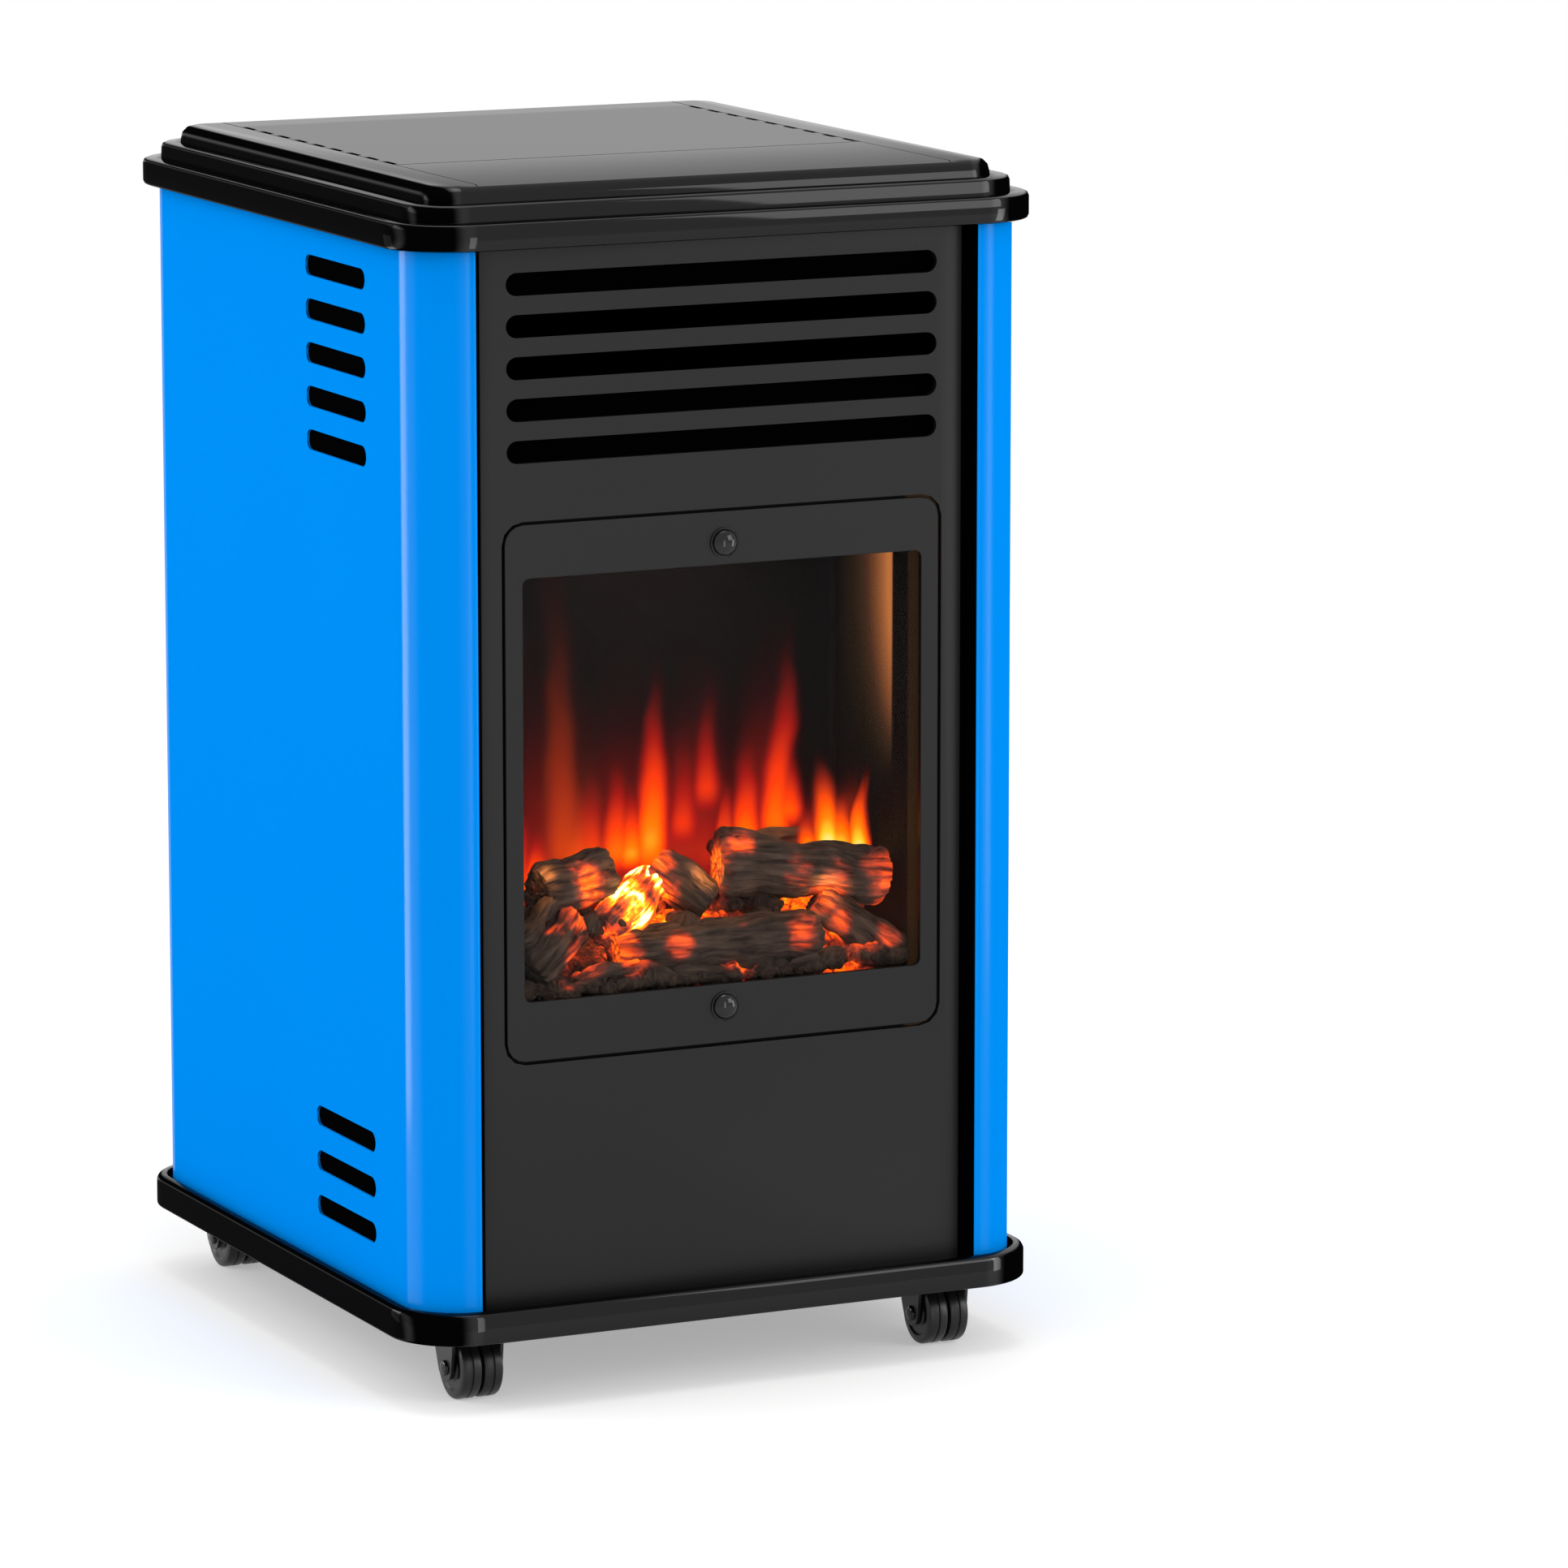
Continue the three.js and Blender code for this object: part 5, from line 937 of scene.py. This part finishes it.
class HEATER_OT_flames(bpy.types.Operator):
    """Make the sheets of flame behind and between the logs"""

    bl_idname = "heater.flames"
    bl_label = "Flames"

    # Each sheet: how far back it stands, its warmth, and (across, foot, rise, width, lean, heat) tongues.
    sheets = {
        "flame_veil": (-128.0, 0.0, (
            (-36, 285, 190, 62, 16, 0.38), (14, 300, 170, 52, 12, 0.4), (-84, 290, 210, 26, -16, 0.34),
            (62, 300, 190, 34, 14, 0.38), (-44, 300, 110, 34, 0, 0.42), (34, 300, 120, 34, 0, 0.42),
            (104, 296, 90, 40, 0, 0.32),
        )),
        "flame_back": (-136.0, 0.0, (
            (-56, 316, 78, 14, 2, 0.62), (-38, 312, 92, 15, 4, 0.72), (-27, 312, 70, 12, 0, 0.84),
            (-14, 310, 150, 14, 9, 0.84), (8, 326, 96, 13, -2, 0.5), (24, 346, 104, 13, 0, 0.5),
            (37, 310, 66, 10, 0, 0.88), (51, 314, 96, 14, 2, 0.74), (72, 314, 170, 15, 13, 0.7),
            (82, 330, 80, 13, -5, 0.64), (66, 314, 40, 11, 0, 0.84), (-92, 296, 60, 14, 2, 0.88),
            (-106, 296, 110, 16, -4, 0.6), (95, 302, 60, 15, 2, 0.64),
        )),
        "flame_left": (-142.0, 0.05, (
            (-75, 296, 262, 19, -12, 0.44), (-70, 296, 150, 17, -3, 0.52), (-56, 300, 210, 18, -30, 0.26),
        )),
        "flame_right": (-152.0, 0.03, (
            (101, 312, 74, 11, -9, 1.08), (108, 314, 50, 14, 0, 0.92), (122, 306, 70, 10, 0, 1.1),
            (112, 308, 74, 20, 2, 0.55), (88, 312, 38, 9, 0, 0.85), (30, 320, 36, 9, 0, 0.72),
        )),
    }

    def execute(self, context):
        for name, (back, warmth, tongues) in self.sheets.items():
            mesh = bmesh.new()
            bmesh.ops.create_grid(mesh, x_segments=16, y_segments=16, size=1.0)
            depth = (back - FIRE_FRONT) / FIRE_DEPTH
            half = 140.0 - 15.0 * depth
            upright = Matrix.Rotation(math.pi / 2, 4, "X")
            for vert in mesh.verts:
                x, y, z = upright @ vert.co
                ripple = 1.5 * math.sin(9.0 * x) * z
                vert.co = Vector((x * half, back + ripple, 395.0 + z * 115.0)) * MM
            finish_piece(name, mesh, "cabinet", flames(name, tongues, warmth))
        return {"FINISHED"}


class HEATER_OT_stage(bpy.types.Operator):
    """Make the floor, the lamps, the world and the camera"""

    bl_idname = "heater.stage"
    bl_label = "Stage"

    white = (1.0, 1.0, 1.0)
    ember = (1.0, 0.42, 0.12)
    hearth = (1.0, 0.74, 0.56)
    middle = (0.0, 0.0, 0.4)
    strips = (
        ("left_strip", (-0.75, 0.385, 0.3), (-0.2, -0.2, 0.3), 0.3, 3.2),
        ("front_strip", (0.09, -1.39, 0.3), (-0.2, -0.2, 0.3), 0.2, 1.2),
        ("right_strip", (1.1, -1.0, 0.3), (-0.1, -0.2, 0.3), 0.3, 3.0),
    )
    embers = ((-48, -186, 306), (8, -172, 312), (80, -196, 300), (-104, -176, 322), (60, -150, 345))

    def execute(self, context):
        view = context.scene.heater_view
        camera = bpy.data.objects.new("product_camera", bpy.data.cameras.new("product_camera"))
        camera.data.sensor_width = 36.0
        camera.data.lens = view.lens
        camera.data.clip_end = 100.0
        camera.location = view.place
        camera.rotation_euler = (math.pi / 2 - view.pitch, 0.0, -view.heading)
        context.scene.collection.objects.link(camera)
        context.scene.camera = camera
        self.make_floor(context)
        self.make_world(context)
        self.make_lamp("left_softbox", (-2.6, 0.6, 1.9), self.middle, 1.6, 20.0)
        self.make_lamp("right_softbox", (1.9, -2.6, 1.5), self.middle, 1.4, 22.0)
        for name, place, target, width, power in self.strips:
            strip = self.make_lamp(name, place, target, width, power)
            strip.data.shape = "RECTANGLE"
            strip.data.size_y = 0.7
            strip.visible_diffuse = False
        self.make_lamp("top_softbox", (0.0, -0.3, 3.0), self.middle, 1.4, 16.0)
        fire = context.scene.heater_fire.lamp_strength
        self.make_lamp("hearth_lamp", (0.0, -0.19, 0.5), (0.0, -0.165, 0.3), 0.12, 0.16 * fire, self.hearth)
        for i, place in enumerate(self.embers):
            data = bpy.data.lights.new(f"ember_lamp_{i}", "POINT")
            data.shadow_soft_size = 0.006
            self.hang_lamp(data, [value * MM for value in place], 0.035 * fire, self.ember).visible_glossy = False
        context.scene.view_settings.view_transform = "Standard"
        return {"FINISHED"}

    def make_floor(self, context):
        """A pale floor that is white where it is seen and keeps the shadow."""
        mesh = bmesh.new()
        bmesh.ops.create_grid(mesh, x_segments=1, y_segments=1, size=30.0)
        data = bpy.data.meshes.new("floor")
        mesh.to_mesh(data)
        mesh.free()
        floor = bpy.data.objects.new("floor", data)
        context.scene.collection.objects.link(floor)
        material, tree, shader = new_material("floor_white")
        set_sockets(shader, Base_Color=(0.74, 0.74, 0.74), Roughness=1.0, Specular_IOR_Level=0.0,
                    Emission_Color=self.white)
        lift = math_node(tree, "MULTIPLY", self.seen(tree), 0.36)
        tree.links.new(lift, shader.inputs["Emission Strength"])
        data.materials.append(material)

    def seen(self, tree):
        """1 for rays that show the background: straight, mirrored or through glass."""
        path = add_node(tree, "LightPath")
        rays = [path.outputs[name] for name in ("Is Camera Ray", "Is Glossy Ray", "Is Transmission Ray")]
        return hottest(tree, rays)

    def make_world(self, context):
        """Even light all round, which is plain white where it is seen."""
        world = bpy.data.worlds.new("studio")
        context.scene.world = world
        world.use_nodes = True
        tree = world.node_tree
        shell = tree.nodes["Background"]
        set_sockets(shell, Color=self.white)
        even = 0.86 * context.scene.heater_view.daylight
        lift = math_node(tree, "MULTIPLY", self.seen(tree), 1.0 - even)
        tree.links.new(math_node(tree, "ADD", lift, even), shell.inputs["Strength"])

    def hang_lamp(self, data, place, power, color):
        """Puts a lamp in its place, hidden from the camera and through glass."""
        data.energy = power
        data.color = color
        lamp = bpy.data.objects.new(data.name, data)
        lamp.location = place
        lamp.visible_camera = False
        lamp.visible_transmission = False
        bpy.context.scene.collection.objects.link(lamp)
        return lamp

    def make_lamp(self, name, place, target, size, power, color=white):
        """A square lamp that faces its target."""
        data = bpy.data.lights.new(name, "AREA")
        data.shape = "SQUARE"
        data.size = size
        lamp = self.hang_lamp(data, place, power, color)
        lamp.rotation_euler = (Vector(target) - Vector(place)).to_track_quat("-Z", "Y").to_euler()
        return lamp


class HEATER_PT_panel(bpy.types.Panel):
    """Lists the heater's settings and steps"""

    bl_label = "Cabinet heater"
    bl_idname = "HEATER_PT_panel"
    bl_space_type = "VIEW_3D"
    bl_region_type = "UI"
    bl_category = "Heater"

    def draw(self, context):
        for settings in (context.scene.heater_finish, context.scene.heater_fire, context.scene.heater_view):
            box = self.layout.box()
            for key in settings.bl_rna.properties.keys():
                if key not in ("rna_type", "name"):
                    box.prop(settings, key)
        for operator in OPERATORS:
            self.layout.operator(operator.bl_idname)


SETTINGS = {"heater_finish": HeaterFinish, "heater_fire": HeaterFire, "heater_view": HeaterView}
OPERATORS = (HEATER_OT_finishes, HEATER_OT_cabinet, HEATER_OT_small_parts, HEATER_OT_fire_bed, HEATER_OT_flames,
             HEATER_OT_stage)


def register():
    for settings in SETTINGS.values():
        bpy.utils.register_class(settings)
    for key, settings in SETTINGS.items():
        setattr(bpy.types.Scene, key, bpy.props.PointerProperty(type=settings))
    for operator in OPERATORS:
        bpy.utils.register_class(operator)
    bpy.utils.register_class(HEATER_PT_panel)


def unregister():
    bpy.utils.unregister_class(HEATER_PT_panel)
    for operator in reversed(OPERATORS):
        bpy.utils.unregister_class(operator)
    for key in SETTINGS:
        delattr(bpy.types.Scene, key)
    for settings in reversed(list(SETTINGS.values())):
        bpy.utils.unregister_class(settings)


def main():
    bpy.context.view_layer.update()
    register()
    bpy.ops.heater.finishes()
    bpy.ops.heater.cabinet()
    bpy.ops.heater.small_parts()
    bpy.ops.heater.fire_bed()
    bpy.ops.heater.flames()
    bpy.ops.heater.stage()


if __name__ == "__main__":
    main()
